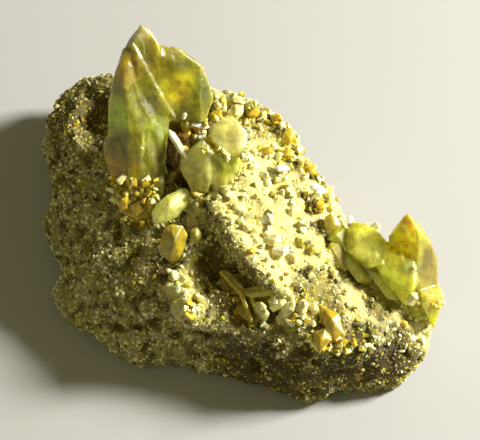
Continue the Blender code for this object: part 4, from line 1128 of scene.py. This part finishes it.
def add_blocks(ground, crystals, materials):
    """Small blocky crystals along the crest, the ridge, the ledge and the crystals' feet."""
    chance = random.Random(SEEDS["blocks"])
    forms = block_forms(chance)
    kinds = ("cream", "amber", "small_olive")
    copies = {kind: [] for kind in kinds}
    for (start, end), count, stray, radii, on, shares in BLOCK_LINES:
        for _ in range(count):
            place = Vector(start).lerp(Vector(end), chance.random())
            place += random_shift(chance, stray)
            near, normal, _, away = ground.tree.find_nearest(place)
            on_crystal, crystal_normal, _, crystal_away = crystals.find_nearest(place)
            if on == "heap":
                near, normal = place, HEAP_WAY
            elif on == "all" and crystal_away < away:
                near, normal = on_crystal, crystal_normal
            elif not clear_of(crystals, near, BLOCK_CLEAR):
                continue
            kind = chance.choices(kinds, shares)[0]
            radius = chance.uniform(*radii)
            lean = random_shift(chance, BLOCK_LEAN)
            upright = (normal + lean).to_track_quat("Z", "Y").to_matrix()
            turn = np.array(upright @ Matrix.Rotation(chance.uniform(0.0, math.tau), 3, "Z"))
            middle = np.array(near + normal * radius * BLOCK_RISE)
            copies[kind].append((chance.choice(forms), turn, radius, middle))
    for kind in kinds:
        slot = kind.removeprefix("small_")
        name = f"small_{slot}_crystals"
        add_piece(name, joined_mesh(name, copies[kind]), materials[kind], slot)


def settled(place, reach, trees):
    """The place, moved towards the nearest surface until it is within reach of it."""
    place = Vector(place)
    near, _, _, away = min((tree.find_nearest(place) for tree in trees), key=lambda hit: hit[3])
    return np.array(near.lerp(place, min(1.0, reach / max(away, reach))))


def add_shards(ground, crystals, materials):
    """Slender crystals, each in a place of its own."""
    bm = bmesh.new()
    for along, wide, thick in SHARD_SHAPE:
        for right, up in SHARD_OUTLINE:
            bm.verts.new((right * wide, up * thick * SHARD_FLATNESS, along))
    bmesh.ops.convex_hull(bm, input=bm.verts)
    corners, triangles = hull_arrays(bm)
    copies = {}
    for row in SHARDS + LEANING:
        place, way, length, width, kind = row
        shape = corners * np.array((width, width, length)) / 2.0
        turn = np.array(Vector(way).to_track_quat("Z", "Y").to_matrix())
        if row in LEANING:
            middle = np.array(place)
        else:
            middle = settled(place, width * SHARD_REACH, (ground.tree, crystals))
        copies.setdefault(kind, []).append(((shape, triangles), turn, 1.0, middle))
    for kind, shards in copies.items():
        name = f"slender_{kind}_crystals"
        slot = {"white_glint": "cream", "lime": "green", "small_olive": "olive"}.get(kind, kind)
        add_piece(name, joined_mesh(name, shards), materials[kind], slot)


def edge_mask(mesh, points, normals):
    """How sharply the surface bulges at each vertex, from 0 to 1."""
    first, second = read_rows(mesh.edges, "vertices", 2, np.int32).T
    along = points[second] - points[first]
    along /= np.maximum(np.linalg.norm(along, axis=1), TINY)[:, None]
    bulge, uses = np.zeros(len(points)), np.zeros(len(points))
    for start, way in ((first, along), (second, -along)):
        np.add.at(bulge, start, -(normals[start] * way).sum(1))
        np.add.at(uses, start, 1.0)
    mask = np.clip(bulge / np.maximum(uses, 1.0) * EDGE_SHARPNESS, 0.0, 1.0)
    for _ in range(EDGE_SPREAD):
        total = mask * uses
        np.add.at(total, first, mask[second])
        np.add.at(total, second, mask[first])
        mask = total / np.maximum(uses * 2.0, 1.0)
    return mask


def stretched(points, way, keep):
    """The points with their distances along this way cut down, for long marks."""
    way = np.array(way) / np.linalg.norm(way)
    return points - np.outer(points @ way, way) * (1.0 - keep)


def facet_heights(points, width, slope):
    """Heights that turn the surface into small flat facets, each with a slope of its own."""
    heights = []
    for point in points:
        place = Vector(point) / width
        near = noise.voronoi(place)[1][0]
        tilt = noise.noise_vector(near * FACET_SHUFFLE)
        heights.append((place - near).dot(tilt) * width * slope)
    return np.array(heights)


def softened(points, mesh, line, radius, rounds):
    """The points with the edge along this line rounded off."""
    ends = read_rows(mesh.edges, "vertices", 2, np.int32)
    first, second = ends.T
    away = distances(points, *line)
    share = smooth_step(SOFT_SHARPNESS - SOFT_SHARPNESS * away / radius)[:, None]
    uses = np.bincount(ends.ravel(), minlength=len(points)).astype(float)[:, None]
    for _ in range(rounds):
        total = np.stack([
            np.bincount(first, points[second, axis], len(points))
            + np.bincount(second, points[first, axis], len(points))
            for axis in range(3)
        ], axis=1)
        points = points + (total / np.maximum(uses, 1.0) - points) * share
    return points


def step_depths(points, steps):
    """How much lower than the solid the surface is at each point, for its steps."""
    depths = np.zeros(len(points))
    for start, end, across, depth, reach in steps:
        lower = smooth_step((points - start) @ np.array(across) / STEP_WIDTH + 0.5)
        near = smooth_step(STEP_SHARPNESS * (1.0 - distances(points, start, end) / reach))
        depths += depth * lower * near
    return depths


def crystal_mesh(node, look):
    """The node's crystal with growth lines, steps and chipped edges."""
    voxel, way, width, lines, slope, chips = look
    mesh = remeshed(frame["nodes"][node].data, voxel, 0)
    points, normals = read_points(mesh)
    if node in SOFT_EDGES:
        write_points(mesh, softened(points, mesh, *SOFT_EDGES[node]))
        points, normals = read_points(mesh)
    if node in STEPS:
        write_points(mesh, points - normals * step_depths(points, STEPS[node])[:, None])
        points, normals = read_points(mesh)
    mask = edge_mask(mesh, points, normals)
    kept, size = GROWTH_LINES
    height = noise_at(stretched(points, way, kept), size) * lines
    height += facet_heights(stretched(points, way, FACET_STRETCH), width, slope)
    size, commonness = CHIPS
    chipped = np.clip(noise_at(points + CHIP_SHIFT, size) + commonness, 0.0, 1.0)
    height -= chipped * mask * chips
    write_points(mesh, points + normals * height[:, None])
    edge = mesh.attributes.new("edge", "FLOAT", "POINT")
    edge.data.foreach_set("value", mask.astype(np.float32))
    mesh.shade_smooth()
    return mesh


def add_crystals(materials):
    looks = dict(CRYSTAL_LOOKS)
    for number in range(1, RIDGE_CRYSTALS + 1):
        kind = "cream" if number in CREAM_RIDGE_CRYSTALS else "amber"
        looks[f"ridge_crystal_{number}"] = (*RIDGE_LOOK, kind)
    slots = {row["node"]: row["material_slot"] for row in frame["record"]["subparts"]}
    noise.seed_set(SEEDS["facets"])
    surfaces = []
    for node, (*look, kind) in looks.items():
        mesh = crystal_mesh(node, look)
        add_piece(node + "_surface", mesh, materials[kind], slots[node], [node])
        surfaces.append(mesh)
    return surfaces


def add_floor(materials):
    bm = bmesh.new()
    bmesh.ops.create_grid(bm, x_segments=1, y_segments=1, size=FLOOR_SIDE * MM / 2)
    mesh = bpy.data.meshes.new("floor")
    bm.to_mesh(mesh)
    bm.free()
    add_object("floor", mesh, materials["floor"])


def add_lights():
    for name, (way, distance, side, power, colour) in LIGHTS.items():
        light = bpy.data.lights.new(name, "AREA")
        light.energy = power
        light.size = side * MM
        light.color = colour
        obj = new_object(name, light)
        towards = Vector(way).normalized()
        obj.location = (Vector(LOOK_AT) + towards * distance) * MM
        obj.rotation_euler = towards.to_track_quat("Z", "Y").to_euler()
    world = bpy.data.worlds.new("studio")
    world.use_nodes = True
    world.node_tree.nodes["Background"].inputs["Color"].default_value = (*SKY, 1.0)
    bpy.context.scene.world = world


def add_camera():
    camera = bpy.data.cameras.new("camera")
    camera.sensor_width = SENSOR
    camera.lens = SENSOR * VIEW_DISTANCE / VIEW_WIDTH
    camera.clip_start = VIEW_DISTANCE * MM / 10
    camera.clip_end = VIEW_DISTANCE * MM * 4
    obj = new_object("camera", camera)
    height = math.radians(VIEW_HEIGHT)
    back = Vector((0.0, -math.cos(height), math.sin(height)))
    obj.location = (Vector(LOOK_AT) + back * VIEW_DISTANCE) * MM
    obj.rotation_euler = (math.radians(90.0 - VIEW_HEIGHT), 0.0, 0.0)
    bpy.context.scene.camera = obj
    bpy.context.scene.view_settings.view_transform = "Standard"


def build_scene():
    materials = make_materials()
    add_camera()
    add_lights()
    add_floor(materials)
    crystals = crystal_tree()
    ground = Ground(rock_body(crystals, materials).data)
    add_grains(ground, crystals, materials)
    add_blocks(ground, crystals, materials)
    add_shards(ground, crystals, materials)
    add_seams(ground, add_crystals(materials), materials)


build_scene()
